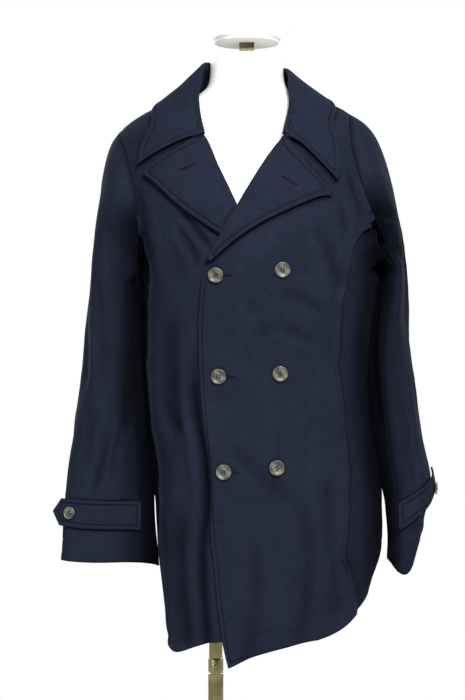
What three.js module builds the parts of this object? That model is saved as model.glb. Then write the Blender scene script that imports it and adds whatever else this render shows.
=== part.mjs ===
// A double-breasted wool pea coat, worn by a limbless dress form on a pole stand.
// Millimetres, +Z up. The front looks along -Y and the wearer's left is +X.
// The origin is at the middle of the underside of the stand's base, on the pole's axis.
import * as THREE from "three";

const CLOTH = 2.5; // melton wall
const SEAM = 0.32; // gap between two pieces at a seam
// How far the upper front lies above the lower one, where it comes down to the body towards
// +X and at the top, and how it rises over the lower lapel.
const OVER = { lift: 3.6, x: 118, xEnd: 176, z: 1262, zEnd: 1316 };
const TUCK = { x: 20, z: 1222, wide: 46, lift: 5.4 };
const STAND_FOOT = 1.8; // gap under the collar's stand, from wall middle to wall middle
const FOLD_RADIUS = 2.3; // turn of a collar or a lapel, to the middle of the wall
const AXIS_X = 50; // line halfway between the two columns of buttons
const HEM_TOP = 780; // below this height the rows follow the hem
const CHEST = 1160; // above this height the rows follow the armholes
const NECK_SEAM = 1436; // height of the seam that holds the collar
const SHOULDER_SEAM = 80; // angle of the shoulder seam, a little to the front of the ridge

const NAVY = 0x20242f;
const HORN = 0x77756c;
const SHELL_WHITE = 0xf1f0ec;
const BRASSY_STEEL = 0xa39c84;

// Level sections of the coat's body: outermost x on both sides, y in front and behind,
// and how square the section is (2 is an ellipse).
const BODY = [
  { z: 560, left: -75, right: 243, front: -148, back: 146, square: 2.6 },
  { z: 640, left: -79, right: 249, front: -147, back: 146, square: 2.6 },
  { z: 700, left: -85, right: 254, front: -145, back: 142, square: 2.6 },
  { z: 760, left: -91, right: 259, front: -142, back: 136, square: 2.6 },
  { z: 840, left: -94, right: 256, front: -138, back: 124, square: 2.6 },
  { z: 900, left: -99, right: 244, front: -134, back: 114, square: 2.6 },
  { z: 960, left: -106, right: 236, front: -131, back: 106, square: 2.6 },
  { z: 1000, left: -108, right: 235, front: -130, back: 104, square: 2.6 },
  { z: 1040, left: -109, right: 235, front: -132, back: 106, square: 2.6 },
  { z: 1100, left: -110, right: 241, front: -140, back: 112, square: 2.6 },
  { z: 1150, left: -113, right: 251, front: -145, back: 118, square: 2.5 },
  { z: 1190, left: -117, right: 260, front: -147, back: 122, square: 2.5 },
  { z: 1230, left: -125, right: 258, front: -145, back: 124, square: 2.5 },
  { z: 1280, left: -139, right: 246, front: -137, back: 124, square: 2.4 },
  { z: 1320, left: -152, right: 236, front: -124, back: 118, square: 2.3 },
  { z: 1350, left: -158, right: 230, front: -110, back: 109, square: 2.2 },
  { z: 1374, left: -153, right: 224, front: -98, back: 99, square: 2.1 },
  { z: 1390, left: -138, right: 218, front: -90, back: 92, square: 2 },
  { z: 1406, left: -114, right: 209, front: -82, back: 85, square: 2 },
  { z: 1417, left: -93, right: 190, front: -76, back: 80, square: 2 },
  { z: 1427, left: -64, right: 162, front: -71, back: 75, square: 2 },
  { z: 1436, left: -34, right: 134, front: -67, back: 71, square: 2 },
  { z: 1446, left: -20, right: 119, front: -63, back: 67, square: 2 },
  { z: 1500, left: -16, right: 114, front: -60, back: 66, square: 2 },
];

// Height of the hem round the body. The lower front has its own line, which the upper hides.
const HEM = [
  { angle: -180, z: 726 },
  { angle: -130, z: 712 },
  { angle: -100, z: 672 },
  { angle: -80, z: 624 },
  { angle: -62, z: 598 },
  { angle: -48, z: 588 },
  { angle: -36, z: 597 },
  { angle: -22, z: 610 },
  { angle: 0, z: 612 },
  { angle: 25, z: 612 },
];
const HEM_UPPER = [
  { angle: -20, z: 574 },
  { angle: -12, z: 573 },
  { angle: 0, z: 588 },
  { angle: 12, z: 599 },
  { angle: 24, z: 607 },
  { angle: 36, z: 613 },
  { angle: 48, z: 626 },
  { angle: 62, z: 654 },
  { angle: 76, z: 693 },
  { angle: 90, z: 728 },
  { angle: 120, z: 742 },
  { angle: 150, z: 734 },
  { angle: 180, z: 726 },
];

// The seams between a front and its side panel, as x at each height, front of the body.
const FRONT_SEAM_RIGHT = [
  { z: 560, x: -68 },
  { z: 640, x: -70 },
  { z: 707, x: -77 },
  { z: 767, x: -84 },
  { z: 840, x: -84 },
  { z: 904, x: -90 },
  { z: 964, x: -98 },
  { z: 1040, x: -101 },
  { z: 1110, x: -101 },
  { z: 1160, x: -99 },
  { z: 1195, x: -103 },
];
const FRONT_SEAM_LEFT = [
  { z: 560, x: 200 },
  { z: 620, x: 207 },
  { z: 665, x: 211 },
  { z: 703, x: 202 },
  { z: 748, x: 191 },
  { z: 800, x: 197 },
  { z: 880, x: 197 },
  { z: 960, x: 191 },
  { z: 1000, x: 185 },
  { z: 1080, x: 184 },
  { z: 1130, x: 193 },
  { z: 1165, x: 200 },
  { z: 1200, x: 204 },
];
// The inner edge of each front: the roll line down to the break, then the free edge.
const EDGE_UPPER = [
  { z: 500, x: 30 },
  { z: 571, x: 21 },
  { z: 614, x: 11 },
  { z: 731, x: -1 },
  { z: 819, x: -9 },
  { z: 908, x: -14 },
  { z: 996, x: -21 },
  { z: 1040, x: -24 },
  { z: 1110, x: -22 },
  { z: 1160, x: -16 },
  { z: 1169, x: -13 },
  { z: 1249, x: 33 },
  { z: 1300, x: 62 },
  { z: 1338, x: 86.5 },
  { z: 1362, x: 101 },
  { z: 1405, x: 108 },
  { z: 1450, x: 109 },
];
const EDGE_LOWER = [
  { z: 500, x: 108 },
  { z: 1040, x: 110 },
  { z: 1169, x: 104 },
  { z: 1249, x: 33 },
  { z: 1318, x: 2 },
  { z: 1366, x: -15 },
  { z: 1402, x: -21 },
  { z: 1450, x: -22 },
];

// The armholes, as ellipses over the body's angle and height.
const ARMHOLES = {
  left: { angle: 90, spread: 24, low: 1188, high: 1408 },
  right: { angle: -90, spread: 23, low: 1166, high: 1378 },
};

// Large soft folds of the body: a trough (positive depth) or a ridge, running from its
// foot to its head at these angles, fading out over its ends.
const EDGE_TROUGH = { foot: -33.5, head: -36, low: 560, high: 1120, width: 4.5, depth: 9 };
const FOLDS = [
  EDGE_TROUGH,
  { foot: -46, head: -47, low: 540, high: 1000, width: 7, depth: -4 },
  { foot: -54, head: -40, low: 860, high: 1240, width: 7, depth: 4 },
  { foot: -34, head: -52, low: 1090, high: 1300, width: 6, depth: 5 },
  { foot: 60, head: 56, low: 540, high: 860, width: 6, depth: 5 },
  { foot: 76, head: 70, low: 560, high: 900, width: 6, depth: 7 },
  { foot: 116, head: 112, low: 600, high: 1060, width: 8, depth: 6 },
  { foot: 34, head: 40, low: 540, high: 820, width: 9, depth: 3.5 },
  { foot: 12, head: 16, low: 560, high: 760, width: 8, depth: -3 },
  { foot: 50, head: 64, low: 1060, high: 1230, width: 6, depth: 5 },
  { foot: 136, head: 144, low: 600, high: 960, width: 9, depth: 8 },
  { foot: 158, head: 166, low: 600, high: 1000, width: 10, depth: -7 },
  { foot: 186, head: 182, low: 600, high: 1080, width: 9, depth: 8 },
  { foot: 214, head: 204, low: 600, high: 980, width: 10, depth: -6 },
  { foot: 240, head: 226, low: 600, high: 1020, width: 9, depth: 7 },
  { foot: 256, head: 252, low: 600, high: 900, width: 7, depth: 3 },
];

// Level sections of the sleeves below the armholes, with the cuff's edge last.
const SLEEVES = {
  right: [
    { z: 1140, outer: -196, inner: -115, middle: 0, deep: 73, twist: 0 },
    { z: 1070, outer: -202.5, inner: -112, middle: -5, deep: 66, twist: 4 },
    { z: 1000, outer: -209, inner: -110, middle: -12, deep: 58, twist: 9 },
    { z: 940, outer: -216, inner: -103, middle: -20, deep: 50, twist: 14 },
    { z: 880, outer: -223.5, inner: -97, middle: -30, deep: 43, twist: 18 },
    { z: 815, outer: -228.5, inner: -91, middle: -40, deep: 35, twist: 21 },
    { z: 765, outer: -231, inner: -88, middle: -46, deep: 30, twist: 23 },
    { z: 719, outer: -232, inner: -86, middle: -50, deep: 26, twist: 24 },
  ],
  left: [
    { z: 1150, outer: 296, inner: 256, middle: 0, deep: 88, twist: 0 },
    { z: 1090, outer: 297, inner: 246, middle: -4, deep: 78, twist: 0 },
    { z: 1040, outer: 299, inner: 238, middle: -8, deep: 70, twist: 0 },
    { z: 980, outer: 308, inner: 238, middle: -14, deep: 64, twist: 0 },
    { z: 915, outer: 317, inner: 242, middle: -20, deep: 61, twist: 0 },
    { z: 865, outer: 329, inner: 248, middle: -24, deep: 60, twist: 0 },
    { z: 825, outer: 334, inner: 256, middle: -27, deep: 60, twist: 0 },
    { z: 785, outer: 322, inner: 262, middle: -30, deep: 60, twist: 0 },
    { z: 745, outer: 319, inner: 264, middle: -32, deep: 59, twist: 0 },
    { z: 702, outer: 305, inner: 264, middle: -34, deep: 56, twist: 0 },
  ],
};
// The cuff's edge rises towards its outer and inner sides.
const CUFF_RISE = {
  right: { outer: 5, inner: -12 },
  left: { outer: 32, inner: 20 },
};
// Folds of the sleeves: a trough across or along, as (turn, height) at its middle.
const SLEEVE_FOLDS = {
  right: [
    { turn: 96, z: 1150, wide: 30, tall: 60, depth: 7 },
    { turn: 30, z: 1010, wide: 26, tall: 70, depth: 4 },
    { turn: 118, z: 985, wide: 34, tall: 28, depth: 6 },
    { turn: 60, z: 900, wide: 40, tall: 22, depth: 3 },
    { turn: 250, z: 960, wide: 44, tall: 30, depth: 5 },
    { turn: 300, z: 1060, wide: 30, tall: 60, depth: 5 },
  ],
  left: [
    { turn: 118, z: 1130, wide: 20, tall: 80, depth: 8 },
    { turn: 52, z: 1110, wide: 16, tall: 90, depth: 7 },
    { turn: 80, z: 960, wide: 26, tall: 40, depth: 4 },
    { turn: 44, z: 765, wide: 26, tall: 14, depth: 4 },
    { turn: 250, z: 930, wide: 40, tall: 30, depth: 6 },
    { turn: 300, z: 1040, wide: 30, tall: 50, depth: 5 },
  ],
};
const SLEEVE_SQUARE = 2.3; // how square a sleeve's section is; 2 is an ellipse
const SLEEVE_SEAMS = { front: 120, back: 240 }; // turns of the under sleeve's two seams
const SEAM_TURN = 120; // turn of the armhole where a side panel's seams meet it
// How the sleeve head leaves the armhole: its pull as a share of the way down to the first
// level ring, its fall for each millimetre out, and how far it still spreads at that ring.
const CAP = {
  left: { pull: 0.7, fall: 0.06, spread: 0.12 },
  right: { pull: 0.35, fall: 0.25, spread: 0.03 },
  underarm: { pull: 0.75, fall: 0.4, spread: 0 },
};
const UNDERARM_GAP = 1.7; // gap at the bottom of the armhole; it narrows to the seam's at the top
const BESIDE = 1.7; // least room between a sleeve and the body, outer face to outer face

// The fall of the collar: its fold, as a point, and its outer edge, on the body.
const COLLAR = [
  { x: -15, y: -97, z: 1367, angle: -62.4, edge: 1319 },
  { x: -22, y: -79, z: 1402, angle: -63.3, edge: 1356 },
  { x: -23, y: -46, z: 1446, angle: -66, edge: 1386 },
  { x: -19.5, y: -3, z: 1485, angle: -88, edge: 1423 },
  { x: 8, y: 52, z: 1491, angle: -132, edge: 1407 },
  { x: 49, y: 70, z: 1493, angle: -180, edge: 1396 },
  { x: 91, y: 51, z: 1485, angle: -228, edge: 1409 },
  { x: 112, y: -3, z: 1475, angle: -271, edge: 1426 },
  { x: 112, y: -46, z: 1443, angle: -297, edge: 1392 },
  { x: 109, y: -79, z: 1404, angle: -301.5, edge: 1354 },
  { x: 101, y: -97.5, z: 1369, angle: -310.5, edge: 1292 },
];
// The lapels, seen from the front: roll line from the gorge down, and the outer edge.
const LAPEL_UPPER = [
  { rollX: 99.5, rollZ: 1360, edgeX: 111, edgeZ: 1336 },
  { rollX: 95, rollZ: 1350, edgeX: 169, edgeZ: 1275 },
  { rollX: 86, rollZ: 1338, edgeX: 152, edgeZ: 1267 },
  { rollX: 62, rollZ: 1300, edgeX: 112, edgeZ: 1249 },
  { rollX: 33, rollZ: 1249, edgeX: 72, edgeZ: 1229 },
  { rollX: 8, rollZ: 1205, edgeX: 31, edgeZ: 1202 },
  { rollX: -10, rollZ: 1174, edgeX: -4, edgeZ: 1171 },
];
const LAPEL_LOWER = [
  { rollX: -14, rollZ: 1362, edgeX: -30, edgeZ: 1353 },
  { rollX: -12, rollZ: 1355, edgeX: -101, edgeZ: 1309 },
  { rollX: -8, rollZ: 1345, edgeX: -88, edgeZ: 1292 },
  { rollX: 3, rollZ: 1315, edgeX: -54, edgeZ: 1257 },
  { rollX: 17, rollZ: 1285, edgeX: -25, edgeZ: 1234 },
  { rollX: 34, rollZ: 1248, edgeX: 12, edgeZ: 1208 },
];

const COLLAR_CLEAR = 1.4; // space under the collar's fall at its edge
const COLLAR_BELLY = 2; // roundness of the fall between its fold and its edge
const LAPEL_CLEAR = 1.6; // space under a lapel at its edge
const ROLL_ROOM = 3.2; // how far a front ends behind its roll line's turn
const COLLAR_ROOM = 8; // the same beside the collar
const LAPEL_BELLY = 1.6; // roundness of a lapel's middle
const STRAP_LIFT = CLOTH / 2 + 0.5;

const BUTTON = { radius: 11.5, thick: 3.6, stand: 0.6 };
const CUFF_BUTTON = { radius: 9.5, thick: 3.2, stand: 0.5 };
const FRONT_BUTTONS = [
  { name: "button_right_top", x: 2, z: 1150 },
  { name: "button_right_middle", x: 6, z: 1001 },
  { name: "button_right_bottom", x: 13.5, z: 860 },
  { name: "button_left_top", x: 99, z: 1158 },
  { name: "button_left_middle", x: 96, z: 1005 },
  { name: "button_left_bottom", x: 91, z: 866 },
];
// Cuff straps: turns where they start and end on the sleeve, heights there, half width,
// then how far the tip points and stands out past it, and the button's share of the way.
const STRAPS = {
  right: { start: 118, end: 24, startZ: 789, endZ: 793, half: 21, point: 12, straight: 14, button: 0.97 },
  left: { start: 118, end: 8, startZ: 788, endZ: 836, half: 21, point: 12, straight: 8, button: 0.86 },
};

// The dress form: level sections round its own leaning axis, and the stand.
const FORM = [
  { z: 742, half: 112, front: -86, back: 84 },
  { z: 790, half: 136, front: -104, back: 102 },
  { z: 860, half: 139, front: -106, back: 108 },
  { z: 930, half: 130, front: -100, back: 96 },
  { z: 1010, half: 116, front: -88, back: 78 },
  { z: 1080, half: 127, front: -98, back: 80 },
  { z: 1160, half: 146, front: -122, back: 92 },
  { z: 1220, half: 151, front: -120, back: 98 },
  { z: 1280, half: 155, front: -104, back: 100 },
  { z: 1330, half: 164, front: -86, back: 92 },
  { z: 1362, half: 168, front: -74, back: 80 },
  { z: 1384, half: 160, front: -66, back: 70 },
  { z: 1400, half: 149, front: -61, back: 65 },
  { z: 1413, half: 134, front: -57, back: 61 },
  { z: 1422, half: 109, front: -54, back: 58 },
  { z: 1432, half: 83, front: -52, back: 56 },
  { z: 1443, half: 65, front: -50, back: 55 },
  { z: 1456, half: 58, front: -50, back: 54 },
  { z: 1496, half: 57, front: -50, back: 54 },
];
const FORM_LEAN = { x: 48, low: 760, high: 1400, foot: 53 };
const NECK_TOP = 1496;
const STEM = { width: 23, deep: 23, high: 20 };
const NECK_CAP = { radius: 53, thick: 11, edge: 3.5 };
const POLE = { radius: 10.4, sleeve: 11.8, joint: 562, top: 741.7 };
const BASE = { radius: 170, thick: 9, edge: 3, hub: 24, hubHigh: 34 };

const clamp = (v, low, high) => Math.min(Math.max(v, low), high);
const ease = (v, low, high) => {
  const t = clamp((v - low) / (high - low), 0, 1);
  return t * t * (3 - 2 * t);
};
const mix = (a, b, t) => a + (b - a) * t;
const radians = THREE.MathUtils.degToRad;
const degrees = THREE.MathUtils.radToDeg;

// One column of a table at a key, along a smooth curve through its rows.
function read(table, key, at, column) {
  const last = table.length - 1;
  const sign = Math.sign(table[last][key] - table[0][key]);
  const place = clamp(at * sign, table[0][key] * sign, table[last][key] * sign) * sign;
  let i = 0;
  while (i < last - 1 && table[i + 1][key] * sign < place * sign) i += 1;
  const slope = (j) => {
    const a = table[Math.max(j - 1, 0)];
    const b = table[Math.min(j + 1, last)];
    return (b[column] - a[column]) / (b[key] - a[key]);
  };
  const step = table[i + 1][key] - table[i][key];
  const t = (place - table[i][key]) / step;
  const rise = table[i + 1][column] - table[i][column];
  const a = slope(i) * step - rise;
  const b = -slope(i + 1) * step + rise;
  return table[i][column] + rise * t + t * (1 - t) * (a * (1 - t) + b * t);
}

// One column of a table whose rows are evenly spread over 0 to 1.
const readEven = (table, t, column) =>
  read(table.map((row, i) => ({ i, v: row[column] })), "i", t * (table.length - 1), "v");

// How deep the body's folds are at an angle and a height.
function foldDepth(angle, z, folds = FOLDS) {
  let sum = 0;
  for (const fold of folds) {
    const t = (z - fold.low) / (fold.high - fold.low);
    const middle = mix(fold.foot, fold.head, clamp(t, 0, 1));
    const off = THREE.MathUtils.euclideanModulo(angle - middle + 180, 360) - 180;
    const fade = (1 - ease(t, 0.45, 1)) * (fold.low > HEM_TOP ? ease(t, -0.3, 0.2) : 1);
    sum += fold.depth * fade * Math.exp(-((off / fold.width) ** 2));
  }
  return sum;
}

// A point on the body's outer face, in a direction (degrees from the front, + to +X).
function onBody(angle, z) {
  const column = (name) => read(BODY, "z", z, name);
  const sine = Math.sin(radians(angle));
  const cosine = Math.cos(radians(angle));
  const wide = sine < 0 ? AXIS_X - column("left") : column("right") - AXIS_X;
  const deep = cosine > 0 ? -column("front") : column("back");
  const power = column("square");
  const sum = Math.abs(sine / wide) ** power + Math.abs(cosine / deep) ** power;
  const reach = sum ** (-1 / power) - foldDepth(angle, z);
  return new THREE.Vector3(AXIS_X + reach * sine, -reach * cosine, z);
}

// The outward normal there.
function bodyNormal(angle, z) {
  const along = onBody(angle + 1, z).sub(onBody(angle - 1, z));
  const up = onBody(angle, z + 3).sub(onBody(angle, z - 3));
  return along.cross(up).normalize();
}

const liftBody = (angle, z, out) =>
  onBody(angle, z).addScaledVector(bodyNormal(angle, z), out);

// The angle on the front half of the body where x has this value.
function angleAt(x, z) {
  let low = x < AXIS_X ? -90 : 0;
  let high = x < AXIS_X ? 0 : 90;
  for (let i = 0; i < 26; i += 1) {
    const middle = (low + high) / 2;
    if (onBody(middle, z).x < x) low = middle;
    else high = middle;
  }
  return (low + high) / 2;
}

// How far the upper front stands off the body, over the lower front, its lapel and its trough.
function upperLift(angle, z) {
  const x = onBody(angle, z).x;
  const beside = (1 - ease(x, OVER.x, OVER.xEnd)) * (1 - ease(z, OVER.z, OVER.zEnd));
  const tuck = Math.exp(-(((x - TUCK.x) / TUCK.wide) ** 2) - ((z - TUCK.z) / TUCK.wide) ** 2);
  return OVER.lift * beside + TUCK.lift * tuck + foldDepth(angle, z, [EDGE_TROUGH]);
}

// A closed wall from rows of points on its middle. A point may carry its own normal.
function wall(rows, thick = CLOTH, ring = false) {
  const high = rows.length;
  const wide = rows[0].length;
  const at = (r, c) => rows[r][ring ? (c + wide) % wide : clamp(c, 0, wide - 1)].point;
  const positions = [];
  for (const side of [0.5, -0.5]) {
    rows.forEach((row, r) => {
      row.forEach((cell, c) => {
        const along = at(r, c + 1).clone().sub(at(r, c - 1));
        const up = at(Math.min(r + 1, high - 1), c).clone().sub(at(Math.max(r - 1, 0), c));
        const normal = cell.normal ?? along.cross(up).normalize();
        positions.push(...cell.point.clone().addScaledVector(normal, side * thick));
      });
    });
  }
  const faces = [];
  const vertex = (i) => new THREE.Vector3().fromArray(positions, i * 3);
  const span = (a, b) => vertex(a % (high * wide)).distanceTo(vertex(b % (high * wide)));
  const quad = (a, b, c, d) => {
    if (span(a, c) <= span(b, d)) faces.push(a, b, c, a, c, d);
    else faces.push(b, c, d, b, d, a);
  };
  const outer = (r, c) => r * wide + (c % wide);
  const inner = (r, c) => high * wide + outer(r, c);
  const across = ring ? wide : wide - 1;
  for (let r = 0; r < high - 1; r += 1) {
    for (let c = 0; c < across; c += 1) {
      quad(outer(r, c), outer(r, c + 1), outer(r + 1, c + 1), outer(r + 1, c));
      quad(inner(r, c), inner(r + 1, c), inner(r + 1, c + 1), inner(r, c + 1));
    }
    if (!ring) {
      quad(outer(r, 0), outer(r + 1, 0), inner(r + 1, 0), inner(r, 0));
      const end = wide - 1;
      quad(outer(r, end), inner(r, end), inner(r + 1, end), outer(r + 1, end));
    }
  }
  const top = high - 1;
  for (let c = 0; c < across; c += 1) {
    quad(outer(0, c), inner(0, c), inner(0, c + 1), outer(0, c + 1));
    quad(outer(top, c), outer(top, c + 1), inner(top, c + 1), inner(top, c));
  }
  const geometry = new THREE.BufferGeometry();
  geometry.setAttribute("position", new THREE.Float32BufferAttribute(positions, 3));
  geometry.setIndex(faces);
  geometry.computeVertexNormals();
  return geometry;
}

const cloth = () => new THREE.MeshStandardMaterial({ color: NAVY, roughness: 0.95 });
const horn = () => new THREE.MeshStandardMaterial({ color: HORN, roughness: 0.35 });
const white = () => new THREE.MeshStandardMaterial({ color: SHELL_WHITE, roughness: 0.6 });
const metal = () =>
  new THREE.MeshStandardMaterial({ color: BRASSY_STEEL, roughness: 0.3, metalness: 1 });

const coat = new THREE.Group();
function add(name, geometry, material = cloth()) {
  const mesh = new THREE.Mesh(geometry, material);
  mesh.name = name;
  coat.add(mesh);
  return mesh;
}

// Heights of the rows that every body panel shares below the armholes.
const SKIRT_STEPS = 6;
const WAIST_STEPS = 10;
const ARM_STEPS = 3;
const NECK_STEPS = 3;
const TURN = 15; // step round an armhole, in degrees

function lowRows(hem) {
  const rows = [];
  for (let i = 0; i < SKIRT_STEPS; i += 1) {
    rows.push((angle) => mix(hem(angle), HEM_TOP, i / SKIRT_STEPS));
  }
  for (let i = 0; i <= WAIST_STEPS; i += 1) rows.push(() => mix(HEM_TOP, CHEST, i / WAIST_STEPS));
  return rows;
}

// The armhole as a closed line on the body: turn 0 at the shoulder, 90 in front.
function onArmhole(side, turn, shrink = 0) {
  const hole = ARMHOLES[side];
  const half = (hole.high - hole.low) / 2;
  const z = (hole.low + hole.high) / 2 + (half - shrink) * Math.cos(radians(turn));
  const spread = hole.spread * (1 - shrink / half);
  return { angle: hole.angle - Math.sign(hole.angle) * spread * Math.sin(radians(turn)), z };
}

const seamGapAngle = (z) => degrees(SEAM / 2 / Math.max(onBody(90, z).x - AXIS_X, 60));

// The shoulder seam: on the ridge at the armhole, in front of it at the neck.
function shoulderAngle(side, z) {
  const hole = ARMHOLES[side];
  const forward = (90 - SHOULDER_SEAM) * ease(z, hole.high - 1, NECK_SEAM);
  return Math.sign(hole.angle) * (90 - forward);
}

// A front seam as an angle: its table of x low down, and straight to the armhole above.
function seamAngle(side, z) {
  const seam = side === "left" ? FRONT_SEAM_LEFT : FRONT_SEAM_RIGHT;
  const end = onArmhole(side, SEAM_TURN);
  const last = seam[seam.length - 1];
  if (z <= last.z) return angleAt(read(seam, "z", z, "x"), z);
  return mix(angleAt(last.x, last.z), end.angle, clamp((z - last.z) / (end.z - last.z), 0, 1));
}
const backSeamAngle = (side) => onArmhole(side, 360 - SEAM_TURN).angle;

// A body panel from rows of cells, each with an angle, a height and a lift off the body.
function panel(name, rows) {
  const cells = rows.map((row) =>
    row.map(({ angle, z, lift = 0 }) => {
      const normal = bodyNormal(angle, z);
      const point = onBody(angle, z).addScaledVector(normal, lift - CLOTH / 2);
      return { point, normal };
    }),
  );
  return add(name, wall(cells));
}

function makeFront(side) {
  const upper = side === "left";
  const sign = upper ? 1 : -1;
  const edge = upper ? EDGE_UPPER : EDGE_LOWER;
  const hemTable = upper ? HEM_UPPER : HEM;
  const breakHeight = upper ? 1166 : 1238;
  const inner = (z) => {
    const room = mix(ROLL_ROOM, COLLAR_ROOM, ease(z, 1310, 1358));
    const roll = ease(z, breakHeight, breakHeight + 6) * (FOLD_RADIUS + room);
    return angleAt(read(edge, "z", z, "x") + sign * roll, z);
  };
  const gap = (z) => sign * seamGapAngle(z);
  const lines = lowRows((angle) => read(hemTable, "angle", angle, "z")).map((height) => ({
    height,
    outer: (z) => seamAngle(side, z) - gap(z),
  }));
  const top = onArmhole(side, SEAM_TURN).z;
  for (let i = 1; i < ARM_STEPS; i += 1) {
    const z = mix(CHEST, top, i / ARM_STEPS);
    lines.push({ height: () => z, outer: () => seamAngle(side, z) - gap(z) });
  }
  for (let turn = SEAM_TURN; turn >= 0; turn -= TURN) {
    const { angle, z } = onArmhole(side, turn);
    lines.push({ height: () => z, outer: () => angle - gap(z) });
  }
  for (let i = 1; i <= NECK_STEPS; i += 1) {
    const z = mix(ARMHOLES[side].high, NECK_SEAM - SEAM, i / NECK_STEPS);
    lines.push({ height: () => z, outer: () => shoulderAngle(side, z) - gap(z) });
  }
  const across = upper ? 13 : 11;
  const rows = lines.map(({ height, outer }) => {
    const row = [];
    for (let c = 0; c <= across; c += 1) {
      const share = upper ? c / across : 1 - c / across;
      let angle = sign * 40;
      let z = height(angle);
      for (let turn = 0; turn < 5; turn += 1) {
        angle = mix(inner(z), outer(z), share);
        z = height(angle);
      }
      row.push({ angle, z, lift: upper ? upperLift(angle, z) : 0 });
    }
    return row;
  });
  panel(`front_${side}`, rows);
}

function makeSide(side) {
  const sign = side === "left" ? 1 : -1;
  const hemTable = side === "left" ? HEM_UPPER : HEM;
  const turns = [];
  for (let turn = SEAM_TURN; turn <= 360 - SEAM_TURN; turn += TURN) turns.push(turn);
  const first = onArmhole(side, turns[0]).angle;
  const last = backSeamAngle(side);
  const gap = (z) => sign * seamGapAngle(z);
  const column = (turn, z) => {
    const share = (onArmhole(side, turn).angle - first) / (last - first);
    return mix(seamAngle(side, z) + gap(z), last - gap(z), share);
  };
  const rows = lowRows((angle) => read(hemTable, "angle", angle, "z")).map((height) =>
    turns.map((turn) => {
      let angle = first;
      let z = height(angle);
      for (let i = 0; i < 5; i += 1) {
        angle = column(turn, z);
        z = height(angle);
      }
      return { angle, z };
    }),
  );
  for (let i = 1; i <= ARM_STEPS; i += 1) {
    rows.push(
      turns.map((turn) => {
        const z = mix(CHEST, onArmhole(side, turn).z, i / ARM_STEPS);
        return { angle: column(turn, z), z };
      }),
    );
  }
  if (side === "right") rows.forEach((row) => row.reverse());
  panel(`side_${side}`, rows);
}

function makeBack() {
  const across = 14;
  const hem = (angle) =>
    angle > 180 ? read(HEM, "angle", angle - 360, "z") : read(HEM_UPPER, "angle", angle, "z");
  const ends = { left: backSeamAngle("left"), right: 360 + backSeamAngle("right") };
  const rows = [];
  const addRow = (left, right, height) => {
    const row = [];
    for (let c = 0; c <= across; c += 1) {
      const share = c / across;
      let z = mix(left.z, right.z, share);
      const from = left.angle + seamGapAngle(left.z);
      const to = right.angle - seamGapAngle(right.z);
      const angle = mix(from, to, share);
      if (height) z = height(angle);
      row.push({ angle, z });
    }
    rows.push(row);
  };
  for (const height of lowRows(hem)) {
    const left = { angle: ends.left, z: height(ends.left) };
    addRow(left, { angle: ends.right, z: height(ends.right) }, height);
  }
  const tops = ["left", "right"].map((side) => onArmhole(side, 360 - SEAM_TURN).z);
  for (let i = 1; i < ARM_STEPS; i += 1) {
    const [left, right] = tops.map((z) => mix(CHEST, z, i / ARM_STEPS));
    addRow({ angle: ends.left, z: left }, { angle: ends.right, z: right });
  }
  for (let turn = 360 - SEAM_TURN; turn <= 360; turn += TURN) {
    const right = onArmhole("right", turn);
    addRow(onArmhole("left", turn), { angle: 360 + right.angle, z: right.z });
  }
  for (let i = 1; i <= NECK_STEPS; i += 1) {
    const [left, right] = ["left", "right"].map((side) => {
      const z = mix(ARMHOLES[side].high, NECK_SEAM - SEAM, i / NECK_STEPS);
      return { angle: shoulderAngle(side, z), z };
    });
    addRow(left, { angle: 360 + right.angle, z: right.z });
  }
  panel("back", rows);
}

// A level ring of a sleeve below the armhole: turn 0 outside, 90 in front, 180 at the body.
function sleeveRing(side, turn, share) {
  const table = SLEEVES[side];
  const top = table[0].z;
  const cuff = table[table.length - 1].z;
  const level = mix(top, cuff, share);
  const column = (name) => read(table, "z", level, name);
  const half = Math.abs(column("outer") - column("inner")) / 2;
  const sign = Math.sign(ARMHOLES[side].angle);
  const cosine = Math.cos(radians(turn));
  const sine = Math.sin(radians(turn));
  let fold = 0;
  for (const row of SLEEVE_FOLDS[side]) {
    const off = THREE.MathUtils.euclideanModulo(turn - row.turn + 180, 360) - 180;
    fold += row.depth * Math.exp(-((off / row.wide) ** 2) - ((level - row.z) / row.tall) ** 2);
  }
  const power = SLEEVE_SQUARE;
  const round = (Math.abs(cosine) ** power + Math.abs(sine) ** power) ** (-1 / power);
  const twist = radians(column("twist"));
  const skew = Math.min(column("deep") * Math.sin(twist), half * 0.7);
  const out = (Math.sqrt(half ** 2 - skew ** 2) / Math.cos(twist)) * cosine * round;
  const front = column("deep") * sine * round;
  const shrink = 1 - fold / Math.max(Math.hypot(out, front), 20);
  const x = (out * Math.cos(twist) - front * Math.sin(twist)) * shrink;
  const y = (-out * Math.sin(twist) - front * Math.cos(twist)) * shrink;
  const rise = CUFF_RISE[side];
  const lift = (cosine > 0 ? rise.outer : rise.inner) * cosine ** 2 * ease(share, 0.7, 1);
  const middle = (column("outer") + column("inner")) / 2;
  return new THREE.Vector3(middle + sign * x, column("middle") + y, level + lift);
}

// A point pushed away from the body's middle until it is this far off the body's outer face.
function besideBody(point, room) {
  const reach = Math.hypot(point.x - AXIS_X, point.y);
  const body = onBody(degrees(Math.atan2(point.x - AXIS_X, -point.y)), point.z);
  const more = Math.max(Math.hypot(body.x - AXIS_X, body.y) + room - reach, 0) / reach;
  return point.set(point.x + (point.x - AXIS_X) * more, point.y * (1 + more), point.z);
}

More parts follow.
